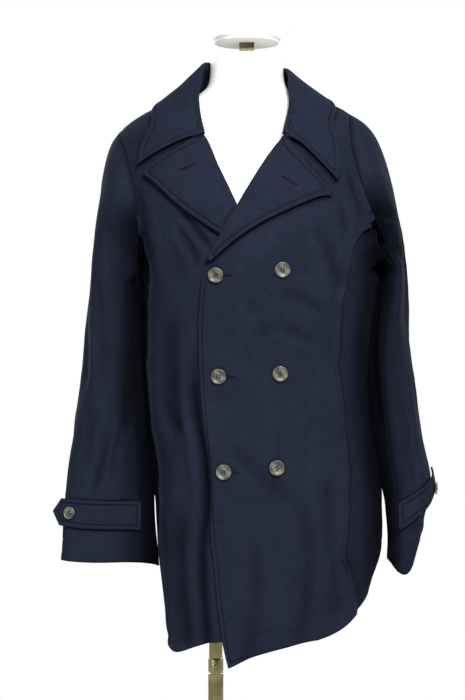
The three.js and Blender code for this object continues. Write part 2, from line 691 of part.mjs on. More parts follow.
// A point on a sleeve's outer face, from the armhole (0) over its head and down to the cuff (1).
const CAP_SHARE = 0.34;
const onSleeve = (side, turn, along) =>
  besideBody(freeSleeve(side, turn, along), BESIDE * ease(along, 0, CAP_SHARE / 2));
function freeSleeve(side, turn, along) {
  if (along >= CAP_SHARE) return sleeveRing(side, turn, (along - CAP_SHARE) / (1 - CAP_SHARE));
  const t = along / CAP_SHARE;
  const sign = Math.sign(ARMHOLES[side].angle);
  const rise = (1 + Math.cos(radians(turn))) / 2;
  const hole = onArmhole(side, turn, mix(UNDERARM_GAP, SEAM, rise));
  const start = onBody(hole.angle, hole.z);
  start.x += sign * SEAM;
  const end = sleeveRing(side, turn, 0);
  const span = start.distanceTo(end);
  const { pull, fall, spread } = Object.fromEntries(
    Object.entries(CAP[side]).map(([key, value]) => [key, mix(CAP.underarm[key], value, rise)]),
  );
  const leave = new THREE.Vector3(sign, 0, -fall).normalize().multiplyScalar(span * pull);
  const arrive = sleeveRing(side, turn, 0.01).sub(end).normalize();
  arrive.x += sign * spread;
  arrive.multiplyScalar(span);
  return start
    .multiplyScalar(2 * t ** 3 - 3 * t ** 2 + 1)
    .addScaledVector(leave, t ** 3 - 2 * t ** 2 + t)
    .addScaledVector(end, 3 * t ** 2 - 2 * t ** 3)
    .addScaledVector(arrive, t ** 3 - t ** 2);
}
function sleeveNormal(side, turn, along) {
  const around = onSleeve(side, turn + 2, along).sub(onSleeve(side, turn - 2, along));
  const low = onSleeve(side, turn, Math.min(along + 0.008, 1));
  const down = low.sub(onSleeve(side, turn, Math.max(along - 0.008, 0)));
  const normal = around.cross(down).normalize();
  if (side === "right") normal.negate();
  const hole = onArmhole(side, turn);
  return normal.lerp(bodyNormal(hole.angle, hole.z), 1 - ease(along, 0, 0.08)).normalize();
}

function makeSleeve(side) {
  const gap = 0.25;
  const parts = [
    { name: "upper", from: SLEEVE_SEAMS.back - 360, to: SLEEVE_SEAMS.front },
    { name: "under", from: SLEEVE_SEAMS.front, to: SLEEVE_SEAMS.back },
  ];
  const steps = 18;
  for (const part of parts) {
    const across = (part.to - part.from) / TURN;
    const rows = [];
    for (let r = steps; r >= 0; r -= 1) {
      const row = [];
      for (let c = 0; c <= across; c += 1) {
        const inset = c === 0 ? gap : c === across ? -gap : 0;
        const turn = part.from + c * TURN + inset;
        const normal = sleeveNormal(side, turn, r / steps);
        const point = onSleeve(side, turn, r / steps).addScaledVector(normal, -CLOTH / 2);
        row.push({ point, normal });
      }
      if (side === "left") row.reverse();
      rows.push(row);
    }
    add(`sleeve_${part.name}_${side}`, wall(rows));
  }
}

// The fall of the collar and the stand under it, at a place along the collar (0 to 1).
function collarPlace(along) {
  const column = (name) => readEven(COLLAR, along, name);
  const fold = new THREE.Vector3(column("x"), column("y"), column("z"));
  const angle = column("angle");
  const edge = liftBody(angle, column("edge"), COLLAR_CLEAR + CLOTH / 2);
  return { fold, edge, angle };
}

// The frame of the collar's turn there: up out of the fold, and out over the fall.
function collarTurn(along) {
  const { fold, edge, angle } = collarPlace(along);
  const ahead = collarPlace(Math.min(along + 0.01, 1)).fold;
  const tangent = ahead.sub(collarPlace(Math.max(along - 0.01, 0)).fold).normalize();
  const ends = ease(Math.abs(along - 0.5), 0.27, 0.4);
  const seat = liftBody(angle, NECK_SEAM, -CLOTH / 2).lerp(edge, ends);
  const up = fold.clone().sub(seat);
  up.addScaledVector(tangent, -up.dot(tangent)).normalize();
  const out = tangent.clone().cross(up).normalize();
  const away = bodyNormal(angle, Math.min(fold.z, NECK_SEAM));
  if (out.dot(away) < 0) out.negate();
  return { fold, edge, angle, up, out };
}

// A point pushed out so that it clears the body's outer face.
function clearBody(point, clear) {
  const angle = degrees(Math.atan2(point.x - AXIS_X, -point.y));
  const body = onBody(angle, point.z);
  const reach = Math.hypot(body.x - AXIS_X, body.y);
  const slope = 1 + 1.3 * ease(point.z, 1340, 1400);
  const least = reach + (clear + CLOTH / 2) * slope;
  const now = Math.hypot(point.x - AXIS_X, point.y);
  const soft = 2;
  const push = soft * Math.log1p(Math.exp(clamp((least - now) / soft, -30, 30)));
  return point.set(
    AXIS_X + ((point.x - AXIS_X) * (now + push)) / now,
    (point.y * (now + push)) / now,
    point.z,
  );
}

const TURN_STEPS = 4;
function makeCollar() {
  const places = 26;
  const widths = 6;
  const fall = [];
  const stand = [];
  for (let i = 0; i <= places; i += 1) {
    const along = i / places;
    const { fold, edge, angle, up, out } = collarTurn(along);
    const center = fold.clone().addScaledVector(up, -FOLD_RADIUS);
    const row = [];
    for (let k = 0; k <= TURN_STEPS; k += 1) {
      const turn = (Math.PI * k) / TURN_STEPS;
      const point = center.clone().addScaledVector(out, -FOLD_RADIUS * Math.cos(turn));
      point.addScaledVector(up, FOLD_RADIUS * Math.sin(turn));
      row.push({ point });
    }
    const start = row[TURN_STEPS].point;
    const belly = start.clone().lerp(edge, 0.5).addScaledVector(out, COLLAR_BELLY);
    for (let k = 1; k <= widths; k += 1) {
      const t = k / widths;
      const point = start.clone().multiplyScalar((1 - t) ** 2);
      point.addScaledVector(belly, 2 * t * (1 - t)).addScaledVector(edge, t * t);
      row.push({ point: clearBody(point, COLLAR_CLEAR * ease(t, 0, 0.3)) });
    }
    fall.push(row);
    if (Math.abs(along - 0.5) < 0.33) {
      const foot = liftBody(angle, NECK_SEAM, -CLOTH / 2);
      foot.z += STAND_FOOT;
      const head = row[0].point.clone().addScaledVector(up, -STAND_FOOT / 2);
      stand.push([0, 0.5, 1].map((t) => ({ point: foot.clone().lerp(head, t) })));
    }
  }
  add("collar_fall", wall(fall));
  add("collar_stand", wall(stand.map((row) => row.reverse())));
}

// A lapel: it turns round the front's roll line and lies on the front.
function makeLapel(name, table, lift, reverse) {
  const places = 13;
  const widths = 5;
  const rows = [];
  for (let i = 0; i <= places; i += 1) {
    const column = (key) => readEven(table, i / places, key);
    const roll = { x: column("rollX"), z: column("rollZ") };
    const edge = { x: column("edgeX"), z: column("edgeZ") };
    const wide = Math.hypot(edge.x - roll.x, edge.z - roll.z);
    const spot = (distance, out) => {
      const x = roll.x + ((edge.x - roll.x) * distance) / wide;
      const z = roll.z + ((edge.z - roll.z) * distance) / wide;
      const angle = angleAt(x, z);
      return liftBody(angle, z, out + lift(angle, z));
    };
    const row = [];
    for (let k = 0; k <= TURN_STEPS; k += 1) {
      const turn = (Math.PI * k) / TURN_STEPS;
      const out = -CLOTH / 2 + FOLD_RADIUS * (1 - Math.cos(turn));
      row.push({ point: spot(FOLD_RADIUS * (1 - Math.sin(turn)), out) });
    }
    const high = 2 * FOLD_RADIUS - CLOTH / 2;
    for (let k = 1; k <= widths; k += 1) {
      const t = k / widths;
      const settle = mix(high, LAPEL_CLEAR + CLOTH / 2, ease(t, 0, 1));
      const puff = LAPEL_BELLY * Math.sin(Math.PI * t) * (wide / 90);
      row.push({ point: spot(mix(FOLD_RADIUS, wide, t), settle + puff) });
    }
    rows.push(reverse ? row.reverse() : row);
  }
  add(name, wall(rows));
}

// A sewn-on button: a dished disc with a thick rim, standing on its thread.
function buttonShape({ radius, thick }) {
  const outline = [
    [0, 0],
    [radius * 0.72, 0],
    [radius, thick * 0.4],
    [radius * 0.97, thick * 0.85],
    [radius * 0.86, thick],
    [radius * 0.64, thick * 0.68],
    [0, thick * 0.62],
  ];
  const geometry = new THREE.LatheGeometry(
    outline.map(([r, h]) => new THREE.Vector2(r, h)),
    14,
  );
  return geometry.rotateX(Math.PI / 2);
}

function place(name, shape, point, normal, material) {
  const mesh = add(name, buttonShape(shape), material);
  mesh.quaternion.setFromUnitVectors(new THREE.Vector3(0, 0, 1), normal);
  mesh.position.copy(point).addScaledVector(normal, shape.stand);
}

function makeButtons() {
  for (const { name, x, z } of FRONT_BUTTONS) {
    const angle = angleAt(x, z);
    const point = liftBody(angle, z, upperLift(angle, z));
    place(name, BUTTON, point, bodyNormal(angle, z), horn());
  }
}

// A cuff strap lies on the sleeve, leaves it near the edge and ends in a point.
function makeStrap(side) {
  const strap = STRAPS[side];
  const cuffAlong = (z) => {
    const table = SLEEVES[side];
    const share = (table[0].z - z) / (table[0].z - table[table.length - 1].z);
    return CAP_SHARE + (1 - CAP_SHARE) * share;
  };
  const spot = (turn, z) => {
    const normal = sleeveNormal(side, turn, cuffAlong(z));
    return { point: onSleeve(side, turn, cuffAlong(z)).addScaledVector(normal, STRAP_LIFT), normal };
  };
  const columns = 9;
  const levels = [-1, -0.5, 0, 0.5, 1];
  const columnsOf = (level) => {
    const row = [];
    for (let c = 0; c <= columns; c += 1) {
      const turn = mix(strap.start, strap.end, c / columns);
      row.push(spot(turn, mix(strap.startZ, strap.endZ, c / columns) + level * strap.half));
    }
    const last = row[columns];
    const before = row[columns - 1];
    const onward = last.point.clone().sub(before.point).normalize();
    const tip = strap.point * (1 - Math.abs(level)) + strap.straight;
    for (const share of [0.5, 1]) {
      const point = last.point.clone().addScaledVector(onward, tip * share);
      row.push({ point, normal: last.normal });
    }
    return row;
  };
  const rows = levels.map(columnsOf);
  if (side === "right") rows.forEach((row) => row.reverse());
  add(`cuff_strap_${side}`, wall(rows, CLOTH));
  const turn = mix(strap.start, strap.end, strap.button);
  const seat = spot(turn, mix(strap.startZ, strap.endZ, strap.button));
  const face = seat.point.addScaledVector(seat.normal, CLOTH / 2);
  place(`cuff_button_${side}`, CUFF_BUTTON, face, seat.normal, horn());
}

// The dress form leans a little; its middle drifts towards +X on the way up.
const formMiddle = (z) => mix(FORM_LEAN.foot, FORM_LEAN.x, ease(z, FORM_LEAN.low, FORM_LEAN.high));
function makeForm() {
  const around = 20;
  const levels = [];
  const last = FORM.length - 1;
  for (let i = 0; i <= last; i += 1) {
    levels.push(FORM[i].z);
    if (i < last && FORM[i + 1].z - FORM[i].z > 40) levels.push((FORM[i].z + FORM[i + 1].z) / 2);
  }
  const positions = [];
  for (const z of levels) {
    const column = (name) => read(FORM, "z", z, name);
    for (let k = 0; k < around; k += 1) {
      const turn = (2 * Math.PI * k) / around;
      const deep = Math.cos(turn) > 0 ? -column("front") : column("back");
      positions.push(formMiddle(z) + column("half") * Math.sin(turn), -deep * Math.cos(turn), z);
    }
  }
  const count = levels.length * around;
  positions.push(formMiddle(levels[0]), 0, levels[0], formMiddle(NECK_TOP), 0, NECK_TOP);
  const faces = [];
  for (let r = 0; r < levels.length - 1; r += 1) {
    for (let k = 0; k < around; k += 1) {
      const a = r * around + k;
      const b = r * around + ((k + 1) % around);
      faces.push(a, b, b + around, a, b + around, a + around);
    }
  }
  for (let k = 0; k < around; k += 1) {
    const next = (k + 1) % around;
    faces.push(count, next, k, count + 1, count - around + k, count - around + next);
  }
  const geometry = new THREE.BufferGeometry();
  geometry.setAttribute("position", new THREE.Float32BufferAttribute(positions, 3));
  geometry.setIndex(faces);
  geometry.computeVertexNormals();
  add("form_torso", geometry, white());
}

const turned = (outline, sides = 28) =>
  new THREE.LatheGeometry(
    outline.map(([r, z]) => new THREE.Vector2(r, z)),
    sides,
  ).rotateX(Math.PI / 2);

function makeStand() {
  const middle = formMiddle(NECK_TOP);
  const stem = new THREE.BoxGeometry(STEM.width, STEM.deep, STEM.high);
  add("form_neck_stem", stem, metal()).position.set(middle, 0, NECK_TOP + SEAM + STEM.high / 2);
  const cap = turned([
    [0, 0],
    [NECK_CAP.radius - NECK_CAP.edge, 0],
    [NECK_CAP.radius, NECK_CAP.edge],
    [NECK_CAP.radius, NECK_CAP.thick - NECK_CAP.edge],
    [NECK_CAP.radius - NECK_CAP.edge, NECK_CAP.thick],
    [0, NECK_CAP.thick + 2],
  ]);
  add("form_neck_cap", cap, white()).position.set(middle, 0, NECK_TOP + STEM.high + 2 * SEAM);
  const upper = turned([
    [0, POLE.joint],
    [POLE.radius, POLE.joint],
    [POLE.radius, POLE.top],
    [0, POLE.top],
  ], 24);
  add("stand_pole_upper", upper, metal());
  const foot = BASE.thick + BASE.hubHigh + SEAM;
  const lower = turned([
    [0, foot],
    [POLE.sleeve, foot],
    [POLE.sleeve, POLE.joint - 2],
    [POLE.sleeve - 1, POLE.joint - SEAM],
    [0, POLE.joint - SEAM],
  ], 24);
  add("stand_pole_lower", lower, metal());
  const base = turned([
    [0, 0],
    [BASE.radius, 0],
    [BASE.radius, BASE.thick - BASE.edge],
    [BASE.radius - BASE.edge, BASE.thick],
    [BASE.hub, BASE.thick],
    [BASE.hub - 3, BASE.thick + BASE.hubHigh],
    [0, BASE.thick + BASE.hubHigh],
  ], 36);
  add("stand_base", base, metal());
}

makeFront("left");
makeFront("right");
makeSide("left");
makeSide("right");
makeBack();
makeSleeve("left");
makeSleeve("right");
makeCollar();
makeLapel("lapel_left", LAPEL_UPPER, upperLift, false);
makeLapel("lapel_right", LAPEL_LOWER, () => 0, true);
makeButtons();
makeStrap("left");
makeStrap("right");
makeForm();
makeStand();

export default coat;
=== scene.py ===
"""A double-breasted pea coat of navy melton wool on a limbless dress form, for Blender 4.5.

The frame is in metres, +Z up. The coat's front looks along -Y and the wearer's left is +X.
Tables and mesh work are in millimetres, and only the finished points are turned to metres.
"""

import math
from itertools import pairwise

import bmesh
import bpy
import numpy as np
from mathutils import Matrix, Vector, noise
from mathutils.bvhtree import BVHTree
from mathutils.kdtree import KDTree


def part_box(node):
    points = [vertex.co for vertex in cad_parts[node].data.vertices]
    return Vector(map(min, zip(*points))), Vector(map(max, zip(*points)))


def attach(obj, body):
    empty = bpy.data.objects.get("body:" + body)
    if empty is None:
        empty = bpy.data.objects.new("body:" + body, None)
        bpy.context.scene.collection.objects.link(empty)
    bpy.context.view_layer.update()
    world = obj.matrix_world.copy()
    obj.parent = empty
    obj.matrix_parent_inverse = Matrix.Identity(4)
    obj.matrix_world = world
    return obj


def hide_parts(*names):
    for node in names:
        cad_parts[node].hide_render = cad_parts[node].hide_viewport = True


MM = 0.001
WELD = 0.02  # mm, points of a solid's mesh that are one point
RIM_ANGLE = math.radians(48)  # faces that meet more sharply than this meet at a rim
AXIS_X = 50.0  # mm, the coat's own middle line, between the columns of buttons

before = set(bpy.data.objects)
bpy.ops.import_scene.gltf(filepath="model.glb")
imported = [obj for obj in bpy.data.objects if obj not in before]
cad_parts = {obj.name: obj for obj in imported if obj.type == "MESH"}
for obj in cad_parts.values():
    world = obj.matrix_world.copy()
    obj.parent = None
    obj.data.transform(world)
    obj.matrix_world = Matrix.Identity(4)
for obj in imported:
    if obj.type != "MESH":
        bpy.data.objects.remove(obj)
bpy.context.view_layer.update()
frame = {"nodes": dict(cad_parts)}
nodes = frame["nodes"]

# ---- meshes ----


def points_of(mesh):
    """A mesh's points, in millimetres."""
    flat = np.empty(len(mesh.vertices) * 3)
    mesh.vertices.foreach_get("co", flat)
    return flat.reshape(-1, 3) / MM


def put_points(mesh, points):
    mesh.vertices.foreach_set("co", (points * MM).ravel())
    mesh.update()


def normals_of(mesh):
    flat = np.empty(len(mesh.vertices) * 3, np.float32)
    mesh.vertex_normals.foreach_get("vector", flat)
    return flat.reshape(-1, 3).astype(float)


def edges_of(mesh):
    flat = np.empty(len(mesh.edges) * 2, np.int32)
    mesh.edges.foreach_get("vertices", flat)
    return flat.reshape(-1, 2)


def link(name, mesh):
    piece = bpy.data.objects.new(name, mesh)
    bpy.context.scene.collection.objects.link(piece)
    return piece


def finish_piece(piece, material, *replaced):
    """Smooth shading, its material, and the calls that tie the piece to the frame."""
    mesh = piece.data
    mesh.materials.clear()
    mesh.materials.append(material)
    mesh.shade_smooth()
    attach(piece, "root")
    if replaced:
        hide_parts(*replaced)
    return piece


def refined(node, name, levels):
    """A finer, rounded copy of a solid's mesh. Its sharp rims stay as smooth curves."""
    bm = bmesh.new()
    bm.from_mesh(nodes[node].data)
    bmesh.ops.remove_doubles(bm, verts=bm.verts, dist=WELD * MM)
    bmesh.ops.join_triangles(
        bm,
        faces=bm.faces,
        angle_face_threshold=math.radians(45),
        angle_shape_threshold=math.radians(80),
    )
    crease = bm.edges.layers.float.new("crease_edge")
    corner = bm.verts.layers.float.new("crease_vert")
    for edge in bm.edges:
        if len(edge.link_faces) == 2 and edge.calc_face_angle() > RIM_ANGLE:
            edge[crease] = 1
    for vert in bm.verts:
        vert[corner] = float(sum(edge[crease] for edge in vert.link_edges) > 2)
    mesh = bpy.data.meshes.new(name)
    bm.to_mesh(mesh)
    bm.free()
    piece = link(name, mesh)
    finer = piece.modifiers.new("finer", "SUBSURF")
    finer.levels = levels
    bpy.context.view_layer.update()
    done = bpy.data.meshes.new_from_object(
        piece.evaluated_get(bpy.context.evaluated_depsgraph_get())
    )
    piece.modifiers.clear()
    piece.data = done
    bpy.data.meshes.remove(mesh)
    done.name = name
    return piece


def rim_points(mesh):
    """True for each point of a mesh that lies on a sharp rim."""
    bm = bmesh.new()
    bm.from_mesh(mesh)
    on_rim = np.zeros(len(mesh.vertices), bool)
    for edge in bm.edges:
        if len(edge.link_faces) == 2 and edge.calc_face_angle() > RIM_ANGLE:
            on_rim[[v.index for v in edge.verts]] = True
    bm.free()
    return on_rim


def relaxed(points, edges, fixed, rounds):
    """Points drawn towards their neighbours a few times, which takes out the flat facets."""
    count = np.bincount(edges.ravel(), minlength=len(points))[:, None]
    for _ in range(rounds):
        total = np.empty_like(points)
        for axis in range(3):
            a, b = points[edges[:, 0], axis], points[edges[:, 1], axis]
            total[:, axis] = np.bincount(edges[:, 0], b, len(points))
            total[:, axis] += np.bincount(edges[:, 1], a, len(points))
        points = np.where(fixed[:, None], points, (points + total / count) / 2)
    return points


def distance_to(points, targets):
    """Each point's distance to the nearest of the targets."""
    tree = KDTree(len(targets))
    for i, target in enumerate(targets):
        tree.insert(target, i)
    tree.balance()
    return np.array([tree.find(p)[2] for p in points])


def surface_tree(pieces, names):
    """A search tree over the surfaces of the named pieces, out of a table of objects."""
    points, faces = [], []
    for name in names:
        mesh = pieces[name].data
        faces += [[i + len(points) for i in face.vertices] for face in mesh.polygons]
        points += [v.co.copy() for v in mesh.vertices]
    return BVHTree.FromPolygons(points, faces)


def gaps_to(points, tree, reach):
    """Each point's distance to a surface in mm, as far as it reaches."""
    gaps = np.full(len(points), float(reach))
    for i, point in enumerate(points):
        gap = tree.find_nearest(Vector(point) * MM, reach * MM)[3]
        if gap is not None:
            gaps[i] = gap / MM
    return gaps


def smoothstep(value, low, high):
    t = np.clip((value - low) / (high - low), 0, 1)
    return t * t * (3 - 2 * t)


def bell(distance, width):
    return np.exp(-((distance / width) ** 2))


# ---- folds ----


def rounded(path, steps=4):
    """A path through the given points, with its corners rounded."""
    p = np.array(path, float)
    p = np.vstack([2 * p[0] - p[1], p, 2 * p[-1] - p[-2]])
    out = []
    for a, b, c, d in zip(p, p[1:], p[2:], p[3:]):
        for t in np.arange(steps) / steps:
            out.append(
                b
                + (c - a) * t / 2
                + (a - 2.5 * b + 2 * c - d / 2) * t**2
                + (1.5 * (b - c) + (d - a) / 2) * t**3
            )
    return np.array([*out, p[-2]])


def along_path(flat, path):
    """How far each flat point is from a path, and where along it (0 to 1) it is nearest."""
    lengths = np.linalg.norm(np.diff(path, axis=0), axis=1)
    starts = np.concatenate([[0], np.cumsum(lengths)])
    best = np.full(len(flat), np.inf)
    place = np.zeros(len(flat))
    for i, (a, b) in enumerate(pairwise(path)):
        t = np.clip((flat - a) @ (b - a) / lengths[i] ** 2, 0, 1)
        gap = np.linalg.norm(flat - a - t[:, None] * (b - a), axis=1)
        near = gap < best
        best[near] = gap[near]
        place[near] = (starts[i] + t[near] * lengths[i]) / starts[-1]
    return best, place


def folded(flat, folds):
    """How far the folds push cloth inwards at flat points: troughs positive, ridges negative."""
    depth = np.zeros(len(flat))
    for fold in folds:
        gap, place = along_path(flat, rounded(fold["path"]))
        fade = smoothstep(place, 0, 0.3)
        if not fold.get("runs_out"):
            fade = fade * smoothstep(1 - place, 0, 0.3)
        depth += fold["deep"] * fade * bell(gap, fold["wide"])
        depth -= 0.45 * fold["deep"] * fade * bell(gap - 2.1 * fold["wide"], fold["wide"])
    return depth


def unevenness(points, size, height, seed):
    """Slow random waves of the cloth, as a height at each point."""
    shift = Vector((seed, 2 * seed, 3 * seed))
    return np.array([height * noise.noise(Vector(p) / size + shift) for p in points])


# Folds that show on the front, from the roll line or the seam they start at. Paths are
# (x, z) as seen from the front. A fold that runs out keeps its depth at its last point.
FRONT_FOLDS = [
    {"path": [(-33, 1080), (-34, 984), (-26, 922), (-16, 863), (-15, 804), (-22, 745),
              (-19, 671), (-13, 600)], "wide": 8, "deep": 7.5, "runs_out": True},
    {"path": [(-56, 1252), (-32, 1220), (-2, 1180)], "wide": 6, "deep": 5.5},
    {"path": [(-64, 1238), (-38, 1196), (-20, 1150)], "wide": 8, "deep": 4},
    {"path": [(-128, 1290), (-114, 1240), (-104, 1180)], "wide": 9, "deep": 4},
    {"path": [(-150, 1268), (-132, 1230), (-112, 1190), (-104, 1130)], "wide": 10, "deep": 5},
    {"path": [(-66, 1134), (-69, 1025), (-57, 937), (-51, 848)], "wide": 15, "deep": 3.6},
    {"path": [(-48, 819), (-54, 730), (-43, 612)], "wide": 12, "deep": 4, "runs_out": True},
    {"path": [(-80, 980), (-70, 940), (-46, 905)], "wide": 8, "deep": 2.4},
    {"path": [(90, 1128), (128, 1118), (176, 1086)], "wide": 9, "deep": 2.8},
    {"path": [(64, 1076), (112, 1069), (168, 1040)], "wide": 10, "deep": 2.6},
    {"path": [(20, 900), (59, 866), (112, 812)], "wide": 12, "deep": 2.4},
    {"path": [(30, 1120), (62, 1092), (84, 1040)], "wide": 10, "deep": 1.9},
    {"path": [(126, 840), (143, 730), (128, 620)], "wide": 13, "deep": 3.4, "runs_out": True},
    {"path": [(167, 880), (171, 760), (184, 660)], "wide": 11, "deep": 3.4, "runs_out": True},
    {"path": [(52, 800), (62, 690), (44, 575)], "wide": 14, "deep": 2.8, "runs_out": True},
    {"path": [(150, 1230), (172, 1180), (188, 1120)], "wide": 10, "deep": 2.4},
    {"path": [(196, 1330), (216, 1270), (226, 1226)], "wide": 10, "deep": 3.6},
    {"path": [(178, 1280), (193, 1240), (190, 1200)], "wide": 8, "deep": 2.6},
    {"path": [(-96, 1378), (-122, 1352), (-136, 1322)], "wide": 9, "deep": 2.4},
]
# Folds round the body away from the front, as (degrees from the front, z).
ROUND_FOLDS = [
    {"path": [(58, 1214), (72, 1226), (86, 1196)], "wide": 6, "deep": 6},
    {"path": [(62, 1184), (74, 1196), (90, 1172)], "wide": 6, "deep": 5},
    {"path": [(64, 1146), (78, 1164), (94, 1140)], "wide": 7, "deep": 5},
    {"path": [(84, 1090), (92, 960), (88, 800), (96, 700)], "wide": 9, "deep": 2.4},
    {"path": [(-62, 1180), (-76, 1192), (-92, 1170)], "wide": 6, "deep": 3},
    {"path": [(-66, 1120), (-82, 1136), (-100, 1112)], "wide": 7, "deep": 2.2},
    {"path": [(-78, 1000), (-84, 860), (-76, 720)], "wide": 9, "deep": 2.4},
    {"path": [(118, 1180), (136, 1100), (140, 1000)], "wide": 10, "deep": 2.6},
    {"path": [(240, 1170), (222, 1090), (218, 1010)], "wide": 10, "deep": 2.8},
    {"path": [(150, 1060), (178, 1040), (206, 1056)], "wide": 12, "deep": 2.6},
    {"path": [(142, 1000), (166, 984), (192, 996)], "wide": 9, "deep": 1.8},
    {"path": [(160, 1350), (181, 1340), (204, 1352)], "wide": 12, "deep": 2.2},
    {"path": [(130, 930), (140, 840), (134, 735)], "wide": 12, "deep": 3, "runs_out": True},
    {"path": [(172, 900), (180, 820), (176, 730)], "wide": 10, "deep": 2.4, "runs_out": True},
    {"path": [(214, 940), (226, 830), (220, 728)], "wide": 12, "deep": 3.2, "runs_out": True},
    {"path": [(200, 1200), (196, 1140), (188, 1100)], "wide": 9, "deep": 1.6},
]
ROUND_RADIUS = 150  # mm, turns an angle round the body into a length


def outwards(points, middle=(AXIS_X, 0.0)):
    """Level unit directions away from an upright line, or from a middle at each point."""
    away = points[:, :2] - np.broadcast_to(middle, (len(points), 2))
    away = away / np.linalg.norm(away, axis=1)[:, None]
    return np.column_stack([away, np.zeros(len(points))])


def body_angle(points):
    return np.degrees(np.arctan2(points[:, 0] - AXIS_X, -points[:, 1]))


def body_depth(points):
    """How far the coat's body is folded in at each point, in millimetres."""
    facing = smoothstep(-points[:, 1], 10, 60)
    depth = facing * folded(points[:, [0, 2]], FRONT_FOLDS)
    angle = body_angle(points)
    arc = math.radians(1) * ROUND_RADIUS
    lines = [
        {**fold, "path": [(a * arc, z) for a, z in fold["path"]]} for fold in ROUND_FOLDS
    ]
    for turn in (0, 360):
        depth += folded(np.column_stack([(angle + turn) * arc, points[:, 2]]), lines)
    return depth + unevenness(points, 85, 1.5, 3) + unevenness(points, 34, 0.7, 8)


# The long seams wander from side to side: two waves along the height.
def seam_wander(z):
    return 2.2 * np.sin(z / 15) + 1.6 * np.sin(z / 7.5 + 1) + 1.8 * np.sin(z / 41)


# ---- sewing ----

STITCH = {"long": 2.7, "step": 3.7, "radius": 0.42, "inset": 6.0}
sewn = []  # every stitch, as its middle, direction along the seam, and normal


def level_lines(mesh, values, level, keep):
    """Lines on a mesh along which its values pass a level, as chains of (point, normal)."""
    mesh.calc_loop_triangles()
    points, normals = points_of(mesh), normals_of(mesh)
    crossing, links = {}, {}
    for triangle in mesh.loop_triangles:
        corners = list(triangle.vertices)
        if not all(keep[i] for i in corners):
            continue
        cut = []
        for a, b in pairwise([*corners, corners[0]]):
            if (values[a] < level) != (values[b] < level):
                key = (min(a, b), max(a, b))
                t = (level - values[key[0]]) / (values[key[1]] - values[key[0]])
                point = points[key[0]] * (1 - t) + points[key[1]] * t
                normal = normals[key[0]] * (1 - t) + normals[key[1]] * t
                crossing[key] = (point, normal)
                cut.append(key)
        if len(cut) == 2:
            links.setdefault(cut[0], []).append(cut[1])
            links.setdefault(cut[1], []).append(cut[0])
    chains, left = [], dict(links)
    for start in sorted(links, key=lambda key: len(links[key])):
        if start not in left:
            continue
        chain, here = [], start
        while here is not None:
            chain.append(crossing[here])
            onward = left.pop(here)
            here = next((key for key in onward if key in left), None)
        chains.append(chain)
    return chains


def sew_along(chains, lift=0.1, shortest=14):
    """Lays stitches along chains of (point, normal)."""
    for chain in chains:
        line = np.array([point for point, _ in chain])
        if len(line) < 3:
            continue
        lengths = np.concatenate([[0], np.cumsum(np.linalg.norm(np.diff(line, axis=0), axis=1))])
        if lengths[-1] < shortest:
            continue
        normals = np.array([normal for _, normal in chain])
        for place in np.arange(STITCH["step"] / 2, lengths[-1], STITCH["step"]):
            ends = [
                np.array([np.interp(at, lengths, line[:, k]) for k in range(3)])
                for at in (place - STITCH["long"] / 2, place + STITCH["long"] / 2)
            ]
            normal = np.array([np.interp(place, lengths, normals[:, k]) for k in range(3)])
            normal /= np.linalg.norm(normal)
            sewn.append((ends[0] + normal * lift, ends[1] + normal * lift, normal))


def tube_points(path, normals, radius, sides=6):
    """Rings of points round a path, and its faces, with closed ends."""
    path, normals = np.asarray(path, float), np.asarray(normals, float)
    ahead = np.gradient(path, axis=0)
    ahead /= np.linalg.norm(ahead, axis=1)[:, None]
    across = np.cross(ahead, normals)
    across /= np.linalg.norm(across, axis=1)[:, None]
    up = np.cross(across, ahead)
    radius = np.broadcast_to(radius, len(path))
    turns = 2 * np.pi * np.arange(sides) / sides
    rings = [
        path[i] + radius[i] * (np.cos(t) * across[i] + np.sin(t) * up[i])
        for i in range(len(path))
        for t in turns
    ]
    faces = [
        [i * sides + k, i * sides + (k + 1) % sides, (i + 1) * sides + (k + 1) % sides,
         (i + 1) * sides + k]
        for i in range(len(path) - 1)
        for k in range(sides)
    ]
    faces.append(list(range(sides))[::-1])
    faces.append([(len(path) - 1) * sides + k for k in range(sides)])
    return rings, faces


def joined_mesh(name, parts):
    """One mesh from several (points in mm, faces)."""
    points, faces = [], []
    for some, those in parts:
        faces += [[i + len(points) for i in face] for face in those]
        points += [Vector(p) * MM for p in some]
    mesh = bpy.data.meshes.new(name)
    mesh.from_pydata(points, [], faces)
    mesh.validate()
    return mesh


# ---- materials ----


def linear(code):
    """An sRGB hex colour as linear values with full alpha."""
    parts = [int(code[i : i + 2], 16) / 255 for i in (1, 3, 5)]
    parts = [p / 12.92 if p <= 0.04045 else ((p + 0.055) / 1.055) ** 2.4 for p in parts]
    return (*parts, 1)


def add_node(material, kind, inputs=None, **settings):
    """Adds a shader node with its settings. An input is a value, or an output to link."""
    made = material.node_tree.nodes.new("ShaderNode" + kind)
    for name, value in settings.items():
        setattr(made, name, value)
    for key, value in (inputs or {}).items():
        if isinstance(value, bpy.types.NodeSocket):
            material.node_tree.links.new(value, made.inputs[key])
        else:
            made.inputs[key].default_value = value
    return made


def new_material(name, slot, **surface):
    """A material with its principled surface, and the record's slot that it belongs to."""
    material = bpy.data.materials.new(name)
    material.use_nodes = True
    material["slot"] = slot
    shader = material.node_tree.nodes["Principled BSDF"]
    for key, value in surface.items():
        shader.inputs[key.replace("_", " ")].default_value = value
    return material, shader


def ramp(material, factor, *stops):
    """A colour ramp through (place, hex colour) stops."""
    made = add_node(material, "ValToRGB", {"Fac": factor})
    elements = made.color_ramp.elements
    while len(elements) < len(stops):
        elements.new(0.5)
    for element, (place, code) in zip(elements, stops):
        element.position = place
        element.color = linear(code)
    return made.outputs["Color"]


def plug(material, shader, key, output):
    material.node_tree.links.new(output, shader.inputs[key])


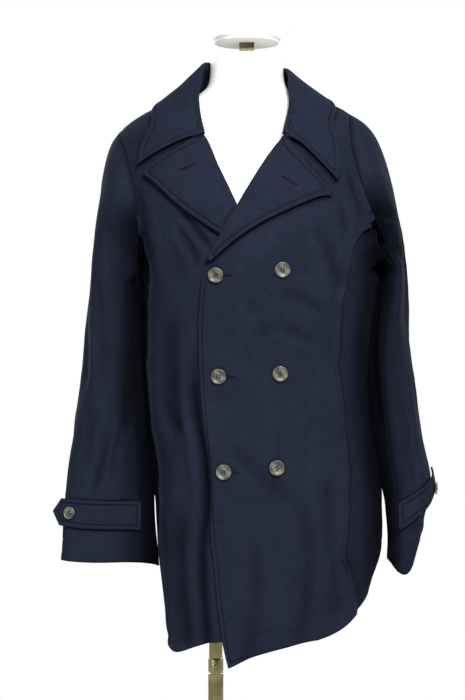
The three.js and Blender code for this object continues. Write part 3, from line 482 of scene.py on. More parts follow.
# Melton wool: fulled and sheared, so its weave is hidden under a short dense nap. The eye
# gets a soft matt navy with a faint cloudiness, and a low sheen where it turns away.
def melton_wool():
    material, shader = new_material(
        "melton_wool", "melton", Roughness=0.9, Sheen_Weight=0.03, Sheen_Roughness=0.5,
        Sheen_Tint=linear("#8a8f9e"), Specular_IOR_Level=0.02,
    )
    place = add_node(material, "TexCoord").outputs["Object"]
    cloud_size, lump_size, fibre_size = 60 * MM, 9 * MM, 2.4 * MM  # fibres drawn coarse
    cloud = add_node(material, "TexNoise", {"Vector": place, "Scale": 1 / cloud_size, "Detail": 3})
    lumps = add_node(material, "TexNoise", {"Vector": place, "Scale": 1 / lump_size, "Detail": 4})
    fibre = add_node(
        material, "TexNoise",
        {"Vector": place, "Scale": 1 / fibre_size, "Detail": 3, "Roughness": 0.7},
    )
    mixed = add_node(
        material, "Math", {0: lumps.outputs["Fac"], 1: cloud.outputs["Fac"]}, operation="ADD"
    )
    speckled = add_node(
        material, "Math", {0: fibre.outputs["Fac"], 1: mixed.outputs[0]}, operation="ADD"
    )
    tone = add_node(material, "Math", {0: speckled.outputs[0], 1: 3.0}, operation="DIVIDE")
    colour = ramp(
        material, tone.outputs[0], (0.34, "#1c202c"), (0.5, "#202533"), (0.66, "#252a39")
    )
    # Painted shade: little light gets down into a fold or in beside another piece, so the colour there
    # is darkened towards near black.
    fold = add_node(material, "Attribute", attribute_name="fold_mm").outputs["Fac"]
    contact_shade = add_node(material, "Attribute", attribute_name="contact_shade").outputs["Fac"]
    deep = add_node(
        material, "MapRange", {"Value": fold, "From Min": 0.3, "From Max": 7, "To Max": 0.8}
    )
    sunk = add_node(
        material, "Math", {0: deep.outputs[0], 1: contact_shade}, operation="MAXIMUM", use_clamp=True
    )
    painted_shade_and_wear = add_node(
        material, "Mix", {"Factor": sunk.outputs[0], "A": colour, "B": linear("#07080d")},
        data_type="RGBA",
    )
    plug(material, shader, "Base Color", painted_shade_and_wear.outputs["Result"])
    # A stitched line lies in a shallow groove at its own distance from the edge.
    edge = add_node(material, "Attribute", attribute_name="edge_mm").outputs["Fac"]
    off = add_node(material, "Math", {0: edge, 1: STITCH["inset"]}, operation="SUBTRACT")
    square = add_node(material, "Math", {0: off.outputs[0], 1: off.outputs[0]}, operation="MULTIPLY")
    fall = add_node(material, "Math", {0: square.outputs[0], 1: -0.55}, operation="MULTIPLY")
    groove = add_node(material, "Math", {0: fall.outputs[0]}, operation="EXPONENT")
    groove_bump = add_node(
        material, "Bump", {"Height": groove.outputs[0], "Distance": 1.1 * MM, "Strength": 1},
        invert=True,
    )
    lump_bump = add_node(
        material, "Bump",
        {"Height": lumps.outputs["Fac"], "Distance": 1.1 * MM, "Strength": 0.55,
         "Normal": groove_bump.outputs[0]},
    )
    fibre_bump = add_node(
        material, "Bump",
        {"Height": fibre.outputs["Fac"], "Distance": 0.45 * MM, "Strength": 0.6,
         "Normal": lump_bump.outputs[0]},
    )
    plug(material, shader, "Normal", fibre_bump.outputs[0])
    return material


# Corespun polyester sewing thread, dyed to the cloth: round, with a slight gloss.
def sewing_thread(name, slot, code):
    material, shader = new_material(name, slot, Roughness=0.7, Specular_IOR_Level=0.1)
    place = add_node(material, "TexCoord").outputs["Object"]
    ply_size = 0.9 * MM
    ply = add_node(material, "TexNoise", {"Vector": place, "Scale": 1 / ply_size, "Detail": 2})
    dark = "#" + "".join(f"{int(int(code[i:i + 2], 16) * 0.7):02x}" for i in (1, 3, 5))
    plug(material, shader, "Base Color", ramp(
        material, ply.outputs["Fac"], (0.3, dark), (0.7, code)
    ))
    return material


# Polished horn: grey and olive layers pressed together, so it is streaked and cloudy with
# a soft polish.
def polished_horn():
    material, shader = new_material(
        "polished_horn", "horn", Roughness=0.42, IOR=1.54, Coat_Weight=0.15, Coat_Roughness=0.25,
    )
    place = add_node(material, "TexCoord").outputs["Object"]
    streak_size, cloud_size = 16 * MM, 9 * MM
    cloud = add_node(
        material, "TexNoise",
        {"Vector": place, "Scale": 1 / cloud_size, "Detail": 3, "Distortion": 0.8},
    )
    streak = add_node(
        material, "TexWave",
        {"Vector": place, "Scale": 1 / streak_size / 2, "Distortion": 5, "Detail": 2,
         "Detail Scale": 1.2},
        bands_direction="DIAGONAL",
    )
    both = add_node(
        material, "Math", {0: cloud.outputs["Fac"], 1: streak.outputs["Fac"]}, operation="ADD"
    )
    half = add_node(material, "Math", {0: both.outputs[0], 1: 0.5}, operation="MULTIPLY")
    plug(material, shader, "Base Color", ramp(
        material, half.outputs[0],
        (0.15, "#2b2d25"), (0.38, "#47493f"), (0.6, "#5b5c50"), (0.85, "#737466"),
    ))
    bump = add_node(
        material, "Bump", {"Height": cloud.outputs["Fac"], "Distance": 0.1 * MM, "Strength": 0.2}
    )
    plug(material, shader, "Normal", bump.outputs[0])
    return material


# Glass-fibre shell, sprayed white and rubbed down: even, matt, with a trace of orange peel.
def sprayed_shell():
    material, shader = new_material(
        "sprayed_shell", "form_shell", Roughness=0.55, Specular_IOR_Level=0.35
    )
    place = add_node(material, "TexCoord").outputs["Object"]
    peel_size, shade_size = 5 * MM, 120 * MM
    peel = add_node(material, "TexNoise", {"Vector": place, "Scale": 1 / peel_size, "Detail": 2})
    shade = add_node(material, "TexNoise", {"Vector": place, "Scale": 1 / shade_size, "Detail": 2})
    plug(material, shader, "Base Color", ramp(
        material, shade.outputs["Fac"], (0.3, "#f7f5ef"), (0.7, "#fdfdfb")
    ))
    bump = add_node(
        material, "Bump", {"Height": peel.outputs["Fac"], "Distance": 0.2 * MM, "Strength": 0.3}
    )
    plug(material, shader, "Normal", bump.outputs[0])
    return material


# Steel tube with a thin brass-coloured plating, polished along its length.
def plated_steel(name, dark, light):
    material, shader = new_material(name, "stand_metal", Metallic=1.0, Roughness=0.3)
    place = add_node(material, "TexCoord").outputs["Object"]
    line_size, cloud_size = 1.2 * MM, 30 * MM
    long = add_node(material, "Mapping", {"Vector": place, "Scale": (1, 1, 0.03)})
    lines = add_node(
        material, "TexNoise", {"Vector": long.outputs[0], "Scale": 1 / line_size, "Detail": 2}
    )
    cloud = add_node(material, "TexNoise", {"Vector": place, "Scale": 1 / cloud_size, "Detail": 3})
    plug(material, shader, "Base Color", ramp(
        material, cloud.outputs["Fac"], (0.35, dark), (0.65, light)
    ))
    painted_shade_and_wear = add_node(
        material, "MapRange",
        {"Value": lines.outputs["Fac"], "From Min": 0.3, "From Max": 0.7, "To Min": 0.24,
         "To Max": 0.42},
    )
    plug(material, shader, "Roughness", painted_shade_and_wear.outputs[0])
    bump = add_node(
        material, "Bump", {"Height": lines.outputs["Fac"], "Distance": 0.08 * MM, "Strength": 0.4}
    )
    plug(material, shader, "Normal", bump.outputs[0])
    return material


melton = melton_wool()
seam_thread = sewing_thread("navy_thread", "melton", "#10131c")
button_thread = sewing_thread("button_thread", "horn", "#2b2f3d")
horn = polished_horn()
shell = sprayed_shell()
plating = plated_steel("plated_steel", "#8d8458", "#b5ab80")
base_plating = plated_steel("plated_steel_base", "#8f8a75", "#b0ab98")

# ---- the coat's body ----

coat = {}  # each finished piece of cloth
rim_of = {}  # and which of its points lie on a rim
SLEEVES = [f"sleeve_{part}_{side}" for part in ("upper", "under") for side in ("left", "right")]
BODY = ["front_left", "front_right", "side_left", "side_right", "back"]


def calm_at_armhole(points, rims, solids):
    """0 at the rims that are sewn to other solids and 1 well away, so both sides still meet."""
    sewn_on = gaps_to(rims, surface_tree(nodes, solids), 6) < 5.5
    if not sewn_on.any():
        return np.ones(len(points))
    return smoothstep(distance_to(points, rims[sewn_on]), 1, 24)


def add_cloth(name, piece, rim):
    finish_piece(piece, melton, name)
    rim_of[name] = rim
    coat[name] = piece


def mark(mesh, name, values):
    """Keeps a length in millimetres at each point, for the material."""
    layer = mesh.attributes.new(name, "FLOAT", "POINT")
    layer.data.foreach_set("value", np.asarray(values, np.float32))


def body_panel(name, levels, seams, stitched=None, hem=True):
    """A panel of the body on its solid's form, folded, with its long seams and its hem."""
    piece = refined(name, name + "_cloth", levels)
    mesh = piece.data
    rim = rim_points(mesh)
    points = relaxed(points_of(mesh), edges_of(mesh), rim, 10)
    put_points(mesh, points)
    outer = np.sum(normals_of(mesh) * outwards(points), axis=1) > 0.15
    rims = points[rim]
    away = outwards(points)
    sideways = np.column_stack([-away[:, 1], away[:, 0], away[:, 2]])
    push = -body_depth(points) * calm_at_armhole(points, rims, SLEEVES)
    # The fold depth is kept for the material, which paints shade into the colour down in the folds.
    mark(mesh, "fold_mm", -push)
    for seam in seams:
        on_seam = seam["where"](rims)
        gap = distance_to(points, rims[on_seam])
        near = bell(gap, 14)
        points = points + sideways * (seam_wander(points[:, 2]) * near)[:, None]
        push += seam["lift"] * bell(gap - 2.5, 3.2) + seam.get("sink", 0) * bell(gap, 8)
    if hem:
        low = distance_to(points, rims[is_hem(rims)])
        push += 0.9 * bell(low - 4, 7) - 0.9 * bell(low - 26, 3)
    put_points(mesh, points + away * push[:, None])
    if stitched is not None:
        rims_now = points_of(mesh)[rim]
        edge = distance_to(points_of(mesh), rims_now[stitched(rims)])
        mark(mesh, "edge_mm", np.where(outer, edge, 0))
        sew_along(level_lines(mesh, edge, STITCH["inset"], outer))
    add_cloth(name, piece, rim)


def is_hem(rims):
    """Rim points that belong to the hem: the lowest ones in each direction."""
    angle = body_angle(rims)
    lowest = {}
    for key, z in zip(np.floor(angle / 3), rims[:, 2]):
        lowest[key] = min(lowest.get(key, np.inf), z)
    floor = np.array([lowest[key] for key in np.floor(angle / 3)])
    return (rims[:, 2] < floor + 6) & (rims[:, 2] < 770)


front_seam = lambda side: lambda p: (
    (p[:, 1] < 0) & (p[:, 2] < 1240)
    & ((p[:, 0] > 150) if side == "left" else (p[:, 0] < -55))
)
free_edge = lambda p: (p[:, 0] < 45) & (p[:, 2] < 1175)
back_edges = lambda p: (p[:, 1] > 0) & (p[:, 2] < 1240)
side_front = lambda p: (p[:, 1] < 0) & (p[:, 2] < 1240)

body_panel("front_left", 3, [{"where": front_seam("left"), "lift": 3.4}], free_edge)
body_panel("front_right", 3, [{"where": front_seam("right"), "lift": 3.0}])
body_panel("side_left", 3, [{"where": side_front, "lift": 0, "sink": -4.4}])
body_panel("side_right", 3, [{"where": side_front, "lift": 0, "sink": -3.6}])
body_panel("back", 3, [{"where": back_edges, "lift": 0.8}])

# ---- sleeves ----

# Folds of the sleeves, as (degrees round from the outside towards the front, z).
SLEEVE_FOLDS = {
    "right": [
        {"path": [(60, 1300), (60, 1200), (58, 1080), (62, 950)], "wide": 9, "deep": -4},
        {"path": [(112, 1290), (120, 1220), (126, 1100), (128, 960), (124, 860)],
         "wide": 19, "deep": 12},
        {"path": [(84, 1250), (90, 1180), (98, 1100)], "wide": 9, "deep": 4},
        {"path": [(96, 960), (84, 900), (70, 850), (60, 806)], "wide": 9, "deep": 4.5},
        {"path": [(58, 960), (52, 900), (46, 850)], "wide": 10, "deep": 2.5},
        {"path": [(118, 930), (104, 880), (98, 830)], "wide": 8, "deep": 3},
        {"path": [(20, 1120), (30, 1040), (38, 960)], "wide": 12, "deep": 2.6},
        {"path": [(-60, 1000), (-90, 950), (-124, 960)], "wide": 12, "deep": 3.8},
        {"path": [(-50, 910), (-84, 880), (-120, 890)], "wide": 10, "deep": 2.8},
        {"path": [(-70, 1220), (-84, 1130), (-90, 1060)], "wide": 12, "deep": 3},
    ],
    "left": [
        {"path": [(58, 1290), (64, 1200), (68, 1110), (66, 1040)], "wide": 12, "deep": 6},
        {"path": [(98, 1230), (96, 1150), (92, 1060)], "wide": 9, "deep": -4},
        {"path": [(126, 1180), (128, 1080), (126, 960), (120, 870)], "wide": 14, "deep": 8},
        {"path": [(30, 1130), (36, 1060), (42, 990), (50, 920)], "wide": 9, "deep": 3.4},
        {"path": [(88, 1010), (80, 930), (84, 860), (90, 800)], "wide": 9, "deep": 3.4},
        {"path": [(60, 778), (84, 768), (104, 774)], "wide": 7, "deep": 3},
        {"path": [(26, 770), (40, 756), (58, 752)], "wide": 7, "deep": 3},
        {"path": [(110, 760), (128, 750), (150, 760)], "wide": 8, "deep": 2.4},
        {"path": [(-50, 980), (-80, 930), (-110, 940)], "wide": 12, "deep": 4},
        {"path": [(-40, 900), (-72, 860), (-104, 868)], "wide": 10, "deep": 2.8},
        {"path": [(-60, 1200), (-76, 1120), (-80, 1050)], "wide": 12, "deep": 3},
    ],
}
SLEEVE_RADIUS = 66  # mm, turns an angle round a sleeve into a length
ARM_LEVEL = 1150  # mm, above this a sleeve's middle keeps its place


def sleeve_middle(side, levels):
    """The middle of a sleeve's section at each height, from both of its solids."""
    both = np.vstack(
        [points_of(nodes[f"sleeve_{part}_{side}"].data) for part in ("upper", "under")]
    )
    heights = np.arange(both[:, 2].min() + 30, ARM_LEVEL, 30)
    middles = []
    for height in heights:
        ring = both[np.abs(both[:, 2] - height) < 26]
        middles.append((ring[:, :2].min(0) + ring[:, :2].max(0)) / 2)
    middles = np.array(middles)
    return np.column_stack([np.interp(levels, heights, middles[:, k]) for k in (0, 1)])


def sleeve_piece(part, side, levels):
    name = f"sleeve_{part}_{side}"
    piece = refined(name, name + "_cloth", levels)
    mesh = piece.data
    rim = rim_points(mesh)
    points = relaxed(points_of(mesh), edges_of(mesh), rim, 8)
    sign = 1 if side == "left" else -1
    middle = sleeve_middle(side, points[:, 2])
    away = outwards(points, middle)
    turn = np.degrees(np.arctan2(-away[:, 1], sign * away[:, 0]))
    arc = math.radians(1) * SLEEVE_RADIUS
    lines = [
        {**fold, "path": [(a * arc, z) for a, z in fold["path"]]}
        for fold in SLEEVE_FOLDS[side]
    ]
    depth = np.zeros(len(points))
    for more in (0, -360):
        depth += folded(np.column_stack([(turn + more) * arc, points[:, 2]]), lines)
    depth += unevenness(points, 60, 1.6, 5) + unevenness(points, 26, 0.7, 2)
    calm = smoothstep(points[:, 2], points[:, 2].min(), points[:, 2].min() + 22)
    rims = points[rim]
    push = -depth * (0.35 + 0.65 * calm) * calm_at_armhole(points, rims, BODY)
    # The fold depth is kept for the material, which paints shade into the colour down in the folds.
    mark(mesh, "fold_mm", -push)
    low = distance_to(points, rims[rims[:, 2] < cuff_height(side)])
    push += 0.8 * bell(low - 4, 6) - 0.7 * bell(low - 30, 3)
    seams = (rims[:, 2] > cuff_height(side)) & (rims[:, 2] < 1180)
    gap = distance_to(points, rims[seams])
    push += 0.9 * bell(gap - 5, 4) - 0.8 * bell(gap, 3)
    put_points(mesh, points + away * push[:, None])
    add_cloth(name, piece, rim)


def cuff_height(side):
    """Just above the cuff's own edge, which is the lowest rim of the upper sleeve."""
    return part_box(f"sleeve_upper_{side}")[0].z / MM + 40


for side in ("left", "right"):
    sleeve_piece("upper", side, 3)
    sleeve_piece("under", side, 2)

# ---- collar and lapels ----

ROLL = {  # the lapels' roll lines, as (x, z) seen from the front
    "left": ((100, 1361), (-11, 1172)),
    "right": ((-14, 1363), (35, 1247)),
}


def turned_piece(name, levels, stitched, swell, rise=0.0, arm=None):
    """A collar or lapel: two layers of cloth, stitched and slightly full at the edge.

    Its edge rises a little off the cloth that it lies on.
    """
    piece = refined(name, name + "_cloth", levels)
    mesh = piece.data
    rim = rim_points(mesh)
    points = relaxed(points_of(mesh), edges_of(mesh), rim, 3)
    away = outwards(points, sleeve_middle(arm, points[:, 2])) if arm else outwards(points)
    put_points(mesh, points)
    outer = np.sum(normals_of(mesh) * away, axis=1) > 0.1
    rims = points[rim]
    edge = distance_to(points, rims[stitched(rims)])
    wave = unevenness(points, 45, 1.1, 11) + unevenness(points, 20, 0.5, 4)
    wave += rise * (1 - smoothstep(edge, 4, 40))
    normals = normals_of(mesh)
    lift = swell * (bell(edge - 2.5, 3.2) + 0.55 * smoothstep(edge, 7, 14))
    lift -= 0.5 * bell(edge - STITCH["inset"], 1.4)
    put_points(mesh, points + away * wave[:, None] + normals * (lift * outer)[:, None])
    mark(mesh, "edge_mm", np.where(outer, edge, 0))
    sew_along(level_lines(mesh, edge, STITCH["inset"], outer))
    add_cloth(name, piece, rim)


def off_roll(side):
    """Rim points of a lapel that are not beside its roll line."""
    (ax, az), (bx, bz) = ROLL[side]
    length = math.hypot(bx - ax, bz - az)

    def test(p):
        across = ((p[:, 0] - ax) * (bz - az) - (p[:, 2] - az) * (bx - ax)) / length
        return np.abs(across) > 9

    return test


def collar_edge(p):
    """Rim points of the collar's fall that are well below its fold in each direction."""
    angle = np.floor(body_angle(p) / 6)
    top = {}
    for key, z in zip(angle, p[:, 2]):
        top[key] = max(top.get(key, -np.inf), z)
    return p[:, 2] < np.array([top[key] for key in angle]) - 14


turned_piece("lapel_left", 3, off_roll("left"), 1.3, rise=2.4)
turned_piece("lapel_right", 3, off_roll("right"), 1.3, rise=2.4)
turned_piece("collar_fall", 3, collar_edge, 1.2, rise=2.8)
stand = refined("collar_stand", "collar_stand_cloth", 2)
add_cloth("collar_stand", stand, rim_points(stand.data))
for side in ("left", "right"):
    turned_piece(f"cuff_strap_{side}", 3, lambda p: np.ones(len(p), bool), 0.6, arm=side)

# ---- where pieces nearly touch ----


CUFF_FREE = 800  # mm, below this a sleeve hangs clear of the body


def settle(some, others, reach, rest=0.4, around=None, floor=0):
    """Draws two groups of pieces together where they nearly touch, each by half the gap.

    With a place (x, z) to work around, only the cloth beside it moves, and none moves
    below the floor height.
    """
    trees = surface_tree(coat, others), surface_tree(coat, some)
    moved = {}
    for names, tree in zip((some, others), trees):
        for name in names:
            points = points_of(coat[name].data)
            here = smoothstep(points[:, 2], floor, floor + 40)
            if around is not None:
                away = np.linalg.norm(points[:, [0, 2]] - around, axis=1)
                here *= 1 - smoothstep(away, 12, 34)
            for i in np.flatnonzero(here):
                point = points[i]
                hit, _, _, gap = tree.find_nearest(Vector(point) * MM, reach * MM)
                if hit is not None and gap > rest * MM:
                    near = here[i] * (1 - smoothstep(gap / MM, reach * 0.55, reach))
                    share = near * (1 - rest * MM / gap) / 2
                    points[i] += (np.array(hit) / MM - point) * share
            moved[name] = points
    for name, points in moved.items():
        put_points(coat[name].data, points)


def join_rims(some, others, around, reach, radius=62):
    """Draws the rims of two groups of pieces together round a place (x, z) in front.

    The cloth beside a rim goes with it, so a wall keeps its thickness.
    """
    trees = surface_tree(coat, others), surface_tree(coat, some)
    moved = {}
    for names, tree in zip((some, others), trees):
        for name in names:
            points = points_of(coat[name].data)
            away = np.linalg.norm(points[:, [0, 2]] - around, axis=1)
            rim = np.flatnonzero(rim_of[name] & (away < radius) & (points[:, 1] < 25))
            pulls, pulled = [], KDTree(len(rim))
            for k, i in enumerate(rim):
                hit, _, _, gap = tree.find_nearest(Vector(points[i]) * MM, reach * MM)
                fade = 1 - smoothstep(away[i], radius * 0.6, radius)
                pulls.append(
                    np.zeros(3) if hit is None else (np.array(hit) / MM - points[i]) * fade / 2
                )
                pulled.insert(points[i], k)
            pulled.balance()
            for i in np.flatnonzero(away < radius + 40) if len(rim) else []:
                _, k, gap = pulled.find(points[i])
                points[i] = points[i] + pulls[k] * bell(gap, 16)
            moved[name] = points
    for name, points in moved.items():
        put_points(coat[name].data, points)


UNDERARM = {"left": (244, 1214), "right": (-110, 1192)}  # mm, where each armpit shows


def paint_contact_shade(names, others, reach, most, pieces=coat):
    """Paints shade into the colour of cloth beside other pieces: most where it touches, none out of
    reach.
    """
    tree = surface_tree(pieces, others)
    for name in names:
        mesh = coat[name].data
        gaps = gaps_to(points_of(mesh), tree, reach)
        layer = mesh.attributes.get("contact_shade") or mesh.attributes.new("contact_shade", "FLOAT", "POINT")
        before = np.empty(len(gaps), np.float32)
        layer.data.foreach_get("value", before)
        now = most * (1 - smoothstep(gaps, 0.1 * reach, reach))
        layer.data.foreach_set("value", np.maximum(before, now.astype(np.float32)))


for side in ("left", "right"):
    sleeve = [f"sleeve_upper_{side}", f"sleeve_under_{side}"]
    front, beside, lapel = f"front_{side}", f"side_{side}", f"lapel_{side}"
    for reach in (26, 40):
        join_rims(sleeve, [front, beside], UNDERARM[side], reach)
    settle(sleeve, [front, beside, "back"], reach=12, floor=CUFF_FREE)
    settle(["collar_fall"], [lapel], reach=20, around=ROLL[side][0])
    # Painted shade in the colour, where sleeves, side panels, fronts, cuff straps, lapels and collar lie
    # close together.
    paint_contact_shade([f"sleeve_under_{side}"], [beside], reach=80, most=1)
    paint_contact_shade([f"sleeve_upper_{side}"], [beside], reach=78, most=0.95)
    paint_contact_shade([f"sleeve_upper_{side}"], [front], reach=9, most=0.6)
    paint_contact_shade([beside], sleeve, reach=80, most=1)
    paint_contact_shade([beside], [front], reach=9, most=0.95)
    paint_contact_shade([beside], [front], reach=60, most=0.25)
    paint_contact_shade([front], [beside], reach=8, most=0.9)
    paint_contact_shade(sleeve, [f"cuff_strap_{side}"], reach=5, most=0.85)
    paint_contact_shade([front], [lapel, "collar_fall"], reach=11, most=0.85)
    paint_contact_shade([lapel], ["collar_fall"], reach=11, most=0.9)
# Painted shade in the colour round the buttons.
paint_contact_shade(
    ["front_left", "cuff_strap_left", "cuff_strap_right"],
    [name for name in nodes if "button" in name],
    reach=4, most=0.85, pieces=nodes,
)

# ---- buttonholes and stitches ----


def from_front(tree, x, z):
    """The first place that a line from the front meets, in mm, and its normal."""
    hit, normal, _, _ = tree.ray_cast(Vector((x, -400, z)) * MM, Vector((0, 1, 0)))
    if normal.y > 0:
        normal = -normal
    return np.array(hit) / MM, np.array(normal)


def buttonhole(tree, start, end, wide=1.3, radius=0.75):
    """A worked buttonhole: a corded ring of thread round a closed slit."""
    start, end = np.array(start, float), np.array(end, float)
    half, middle = (end - start) / 2, (end + start) / 2
    across = np.array([-half[1], half[0]]) / np.linalg.norm(half)
    path, normals = [], []
    for turn in np.linspace(0, 2 * np.pi, 49):
        x, z = middle + half * np.cos(turn) + across * wide * np.sin(turn)
        point, normal = from_front(tree, x, z)
        path.append(point + normal * 0.15)
        normals.append(normal)
    return tube_points(path, normals, radius)


fronts = surface_tree(coat, ["front_left", "lapel_left", "lapel_right"])
BUTTONHOLES = [  # from and to, as (x, z) seen from the front
    ((2, 1150), (24, 1149)),
    ((7, 1001), (29, 1000)),
    ((14, 860), (36, 859)),
    ((98, 1296), (121, 1282)),
    ((-52, 1306), (-27, 1316)),
]
holes = link("buttonholes", joined_mesh(
    "buttonholes", [buttonhole(fronts, a, b) for a, b in BUTTONHOLES]
))
finish_piece(holes, seam_thread)

stitches = []
for start, end, normal in sewn:
    middle = (start + end) / 2 + normal * 0.15
    path = [start - normal * 0.35, start * 0.7 + middle * 0.3, middle,
            end * 0.7 + middle * 0.3, end - normal * 0.35]
    stitches.append(tube_points(path, [normal] * len(path), STITCH["radius"], 5))
finish_piece(link("topstitching", joined_mesh("topstitching", stitches)), seam_thread)

# ---- buttons ----

BUTTON_SIDES = 64
HOLE = {"radius": 1.15, "out": 2.7}  # mm, the four holes and how far out they are


def turned(name, outline, sides):
    """A turned mesh from (radius, height) points, in mm, closed on the axis at both ends."""
    points, faces = [], []
    for radius, height in outline:
        if radius == 0:
            points.append((0, 0, height))
        else:
            for turn in 2 * np.pi * np.arange(sides) / sides:
                points.append((radius * math.cos(turn), radius * math.sin(turn), height))
    starts, at = [], 0
    for radius, _ in outline:
        starts.append(at)
        at += 1 if radius == 0 else sides
    for (i, (low, _)), (j, (high, _)) in pairwise(enumerate(outline)):
        for k in range(sides):
            m = (k + 1) % sides
            if low == 0:
                faces.append([starts[i], starts[j] + m, starts[j] + k])
            elif high == 0:
                faces.append([starts[i] + k, starts[i] + m, starts[j]])
            else:
                faces.append([starts[i] + k, starts[i] + m, starts[j] + m, starts[j] + k])
    mesh = joined_mesh(name, [(points, faces)])
    bm = bmesh.new()
    bm.from_mesh(mesh)
    bmesh.ops.recalc_face_normals(bm, faces=bm.faces)
    bm.to_mesh(mesh)
    bm.free()
    return mesh


def arc(middle, radius, start, end, steps):
    """Points of an arc in an outline, from and to given degrees."""
    return [
        (middle[0] + radius * math.cos(math.radians(a)),
         middle[1] + radius * math.sin(math.radians(a)))
        for a in np.linspace(start, end, steps)
    ]


def button_mesh(name, radius, thick):
    """A dished button with a rolled rim and four drilled holes."""
    rim = thick * 0.36
    outline = [(0, 0), (radius * 0.6, 0), (radius * 0.8, thick * 0.12)]
    outline += arc((radius - rim, thick - rim), rim, -50, 130, 10)
    outline += [(radius * 0.72, thick * 0.68), (radius * 0.5, thick * 0.6),
                (radius * 0.2, thick * 0.57), (0, thick * 0.57)]
    body = link(name, turned(name, outline, BUTTON_SIDES))
    drills = []
    for turn in (45, 135, 225, 315):
        spot = HOLE["out"] * np.array([math.cos(math.radians(turn)), math.sin(math.radians(turn))])
        drill = turned("drill", [(0, -4), (HOLE["radius"], -4), (HOLE["radius"], 8), (0, 8)], 16)
        drill.transform(Matrix.Translation(Vector((*spot, 0)) * MM))
        drills.append(link("drill", drill))
        cut = body.modifiers.new("hole", "BOOLEAN")
        cut.operation = "DIFFERENCE"
        cut.solver = "EXACT"
        cut.object = drills[-1]
    bpy.context.view_layer.update()
    done = bpy.data.meshes.new_from_object(
        body.evaluated_get(bpy.context.evaluated_depsgraph_get())
    )
    for used in [body, *drills]:
        bpy.data.objects.remove(used)
    done.name = name
    return done


def button_threads(name, thick):
    """Two bars of thread between the holes, and the shank that the button stands on."""
    top, parts = thick * 0.57, []
    side = HOLE["out"] * math.sin(math.radians(45))
    for x in (-side, side):
        for shift in (-0.35, 0.35):
            path = [(x + shift, -side, top - 1.4), (x + shift, -side * 0.85, top + 0.2),
                    (x + shift, -side * 0.4, top + 0.65), (x + shift, side * 0.4, top + 0.65),
                    (x + shift, side * 0.85, top + 0.2), (x + shift, side, top - 1.4)]
            parts.append(tube_points(path, [(1, 0, 0)] * len(path), 0.38))
    shank = [(0, 0, -2.2), (0, 0, -1), (0, 0, 0.3)]
    parts.append(tube_points(shank, [(1, 0, 0)] * 3, 1.8, 10))
    return joined_mesh(name, parts)


def seat_of(node, tree):
    """Where a button's solid sits on the cloth: the place, its normal and its size in mm."""
    points = points_of(nodes[node].data)
    middle = points.mean(0)
    normal = np.linalg.svd(points - middle)[2][2]
    if np.dot(normal, middle - (AXIS_X, 0, middle[2])) < 0:
        normal = -normal
    heights = (points - middle) @ normal
    base = middle + normal * heights.min()
    radius = np.linalg.norm(points - middle - np.outer(heights, normal), axis=1).max()
    hit = tree.find_nearest(Vector(base) * MM)[0]
    drop = np.dot(np.array(hit) / MM - base, normal)
    base = base + normal * (drop + 0.7)
    return base, normal, radius, heights.max() - heights.min()


button_ground = surface_tree(
    coat, ["cuff_strap_left", "cuff_strap_right", "front_left", "lapel_left"]
)
for node in sorted(name for name in nodes if "button" in name):
    base, normal, radius, thick = seat_of(node, button_ground)
    turn = Vector((0, 0, 1)).rotation_difference(Vector(normal)).to_matrix().to_4x4()
    lean = Matrix.Rotation(math.radians(len(node) * 37), 4, "Z")
    place = Matrix.Translation(Vector(base) * MM) @ turn @ lean
    disc = link(node + "_horn", button_mesh(node + "_horn", radius, thick))
    disc.data.transform(place)
    finish_piece(disc, horn, node)
    disc.data.set_sharp_from_angle(angle=math.radians(50))
    thread = link(node + "_thread", button_threads(node + "_thread", thick))
    thread.data.transform(place)
    finish_piece(thread, button_thread)

# ---- dress form and stand ----

torso = refined("form_torso", "form_shell", 3)
finish_piece(torso, shell, "form_torso")


def node_size(node):
    """A turned node's middle line, lowest and highest z and radius, in mm."""
    low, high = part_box(node)
    middle = (low + high) / 2 / MM
    return (middle.x, middle.y), low.z / MM, high.z / MM, (high.x - low.x) / 2 / MM


def stand_piece(node, name, material, outline, sides=64):
    (x, y), low, _, _ = node_size(node)
    mesh = turned(name, outline, sides)
    mesh.transform(Matrix.Translation(Vector((x, y, low)) * MM))
    piece = finish_piece(link(name, mesh), material, node)
    mesh.set_sharp_from_angle(angle=math.radians(40))
    return piece


_, low, high, radius = node_size("form_neck_cap")
thick, edge = high - low, 3.2
stand_piece("form_neck_cap", "neck_cap", shell, [
    (0, 0), (radius * 0.6, 0), (radius - edge, 0.3),
    *arc((radius - edge, thick - 2 - edge), edge, -60, 90, 8),
    (radius * 0.7, thick - 1.4), (radius * 0.3, thick - 0.3), (0, thick),
], 96)

_, low, high, radius = node_size("stand_pole_upper")
tall = high - low
stand_piece("stand_pole_upper", "pole_upper", plating, [
    (0, 0), (radius, 0), (radius, tall - 14), (radius - 0.6, tall - 13),
    (radius - 0.6, tall - 1), (radius - 1.6, tall), (0, tall),
])
_, low, high, radius = node_size("stand_pole_lower")
tall = high - low
stand_piece("stand_pole_lower", "pole_lower", plating, [
    (0, 0), (radius, 0), (radius, tall - 24), (radius - 0.7, tall - 23.4),
    (radius - 0.7, tall - 21), (radius, tall - 20.4), (radius, tall - 2),
    (radius - 1.2, tall), (0, tall),
])
_, low, high, radius = node_size("stand_base")
hub, plate, tall = 24, 9, high - low
stand_piece("stand_base", "base_plate", base_plating, [
    (0, 0), (radius - 2, 0), *arc((radius - 3, 3), 3, -70, 0, 5),
    *arc((radius - 3.4, plate - 3.4), 3.4, 0, 90, 7), (hub + 8, plate),
    *arc((hub + 8, plate + 8), 8, 270, 180, 7), (hub - 2, tall - 3),
    *arc((hub - 4.5, tall - 2.5), 2.5, 0, 90, 5), (0, tall),
], 128)
stem = refined("form_neck_stem", "neck_stem", 1)
finish_piece(stem, plated_steel("plated_steel_stem", "#57523f", "#7d785f"), "form_neck_stem")
stem.data.set_sharp_from_angle(angle=math.radians(30))

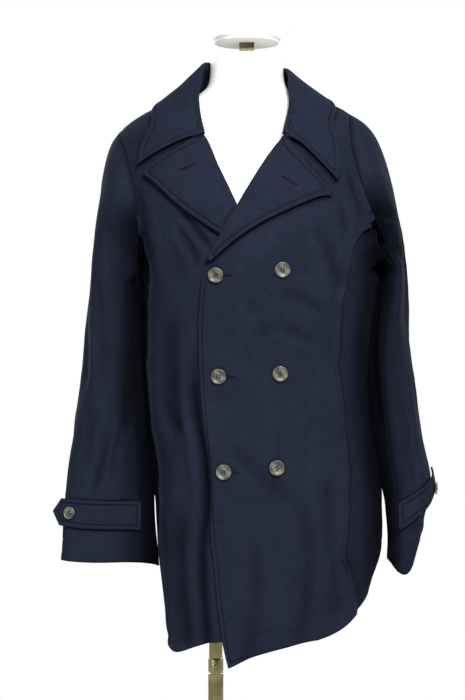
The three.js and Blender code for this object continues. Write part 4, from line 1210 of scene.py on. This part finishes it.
# The spring pin that holds the upper pole stands out of the lower one, in front.
_, _, joint, radius = node_size("stand_pole_lower")
pin = turned("pole_pin", [(0, -2), (3, -2), *arc((0, 0), 3, 0, 80, 6), (0, 3)], 24)
pin.transform(
    Matrix.Translation(Vector((0, -radius + 0.5, joint - 12)) * MM)
    @ Matrix.Rotation(math.radians(90), 4, "X")
)
finish_piece(link("pole_pin", pin), plating)

# ---- floor, light and camera ----

FLOOR_RADIUS = 1900
floor = link("floor", turned("floor", [(0, -0.6), (FLOOR_RADIUS, -0.6)], 96))
paint, surface = new_material("pale_floor", "floor", Roughness=0.8)
grain = add_node(paint, "TexNoise", {"Scale": 8.0, "Detail": 2})
plug(paint, surface, "Base Color", ramp(paint, grain.outputs["Fac"], (0.3, "#d8d7d3"), (0.7, "#deddda")))
floor.data.materials.append(paint)

world = bpy.data.worlds.new("studio")
bpy.context.scene.world = world
world.use_nodes = True
back_light = world.node_tree.nodes["Background"]
room = world.node_tree.nodes.new("ShaderNodeMixShader")
seen = world.node_tree.nodes.new("ShaderNodeBackground")
path = world.node_tree.nodes.new("ShaderNodeLightPath")
back_light.inputs["Color"].default_value = linear("#eef1f7")
back_light.inputs["Strength"].default_value = 0.06
seen.inputs["Color"].default_value = (1, 1, 1, 1)
seen.inputs["Strength"].default_value = 1.0
mirrored = world.node_tree.nodes.new("ShaderNodeMath")
mirrored.operation = "MULTIPLY_ADD"
mirrored.inputs[1].default_value = 0.4
world.node_tree.links.new(path.outputs["Is Glossy Ray"], mirrored.inputs[0])
world.node_tree.links.new(path.outputs["Is Camera Ray"], mirrored.inputs[2])
world.node_tree.links.new(mirrored.outputs[0], room.inputs["Fac"])
world.node_tree.links.new(back_light.outputs[0], room.inputs[1])
world.node_tree.links.new(seen.outputs[0], room.inputs[2])
world.node_tree.links.new(room.outputs[0], world.node_tree.nodes["World Output"].inputs[0])

LIGHTS = [  # place and aim in mm, size in m, power in W
    {"name": "key", "place": (480, -2100, 2400), "aim": (60, 0, 1120), "size": 0.9, "power": 82},
    {"name": "fill", "place": (-1700, -1900, 1500), "aim": (50, 0, 950), "size": 1.4, "power": 14},
    {"name": "top", "place": (60, 900, 3000), "aim": (50, 0, 1200), "size": 1.6, "power": 8},
    {"name": "rear left", "place": (1900, 1500, 1900), "aim": (50, 0, 1050), "size": 1.2,
     "power": 44},
    {"name": "rear right", "place": (-1700, 1900, 1800), "aim": (50, 0, 1050), "size": 1.2,
     "power": 60},
]
for row in LIGHTS:
    lamp = bpy.data.lights.new(row["name"], "AREA")
    lamp.size = row["size"]
    lamp.energy = row["power"]
    holder = bpy.data.objects.new(row["name"], lamp)
    bpy.context.scene.collection.objects.link(holder)
    holder.location = Vector(row["place"]) * MM
    aim = Vector(row["aim"]) * MM - holder.location
    holder.rotation_euler = aim.to_track_quat("-Z", "Y").to_euler()

CAMERA = {"x": 26, "y": -2540, "z": 1040}  # mm, level, looking along +Y
SEEN_HEIGHT, SEEN_AT = 1029, 2400  # mm of height that the picture holds, at this distance
camera = bpy.data.cameras.new("camera")
camera.sensor_width = 36
camera.lens = camera.sensor_width * SEEN_AT / SEEN_HEIGHT
holder = bpy.data.objects.new("camera", camera)
bpy.context.scene.collection.objects.link(holder)
holder.location = Vector(CAMERA.values()) * MM
holder.rotation_euler = (math.radians(90), 0, 0)
bpy.context.scene.camera = holder
bpy.context.scene.view_settings.view_transform = "Standard"
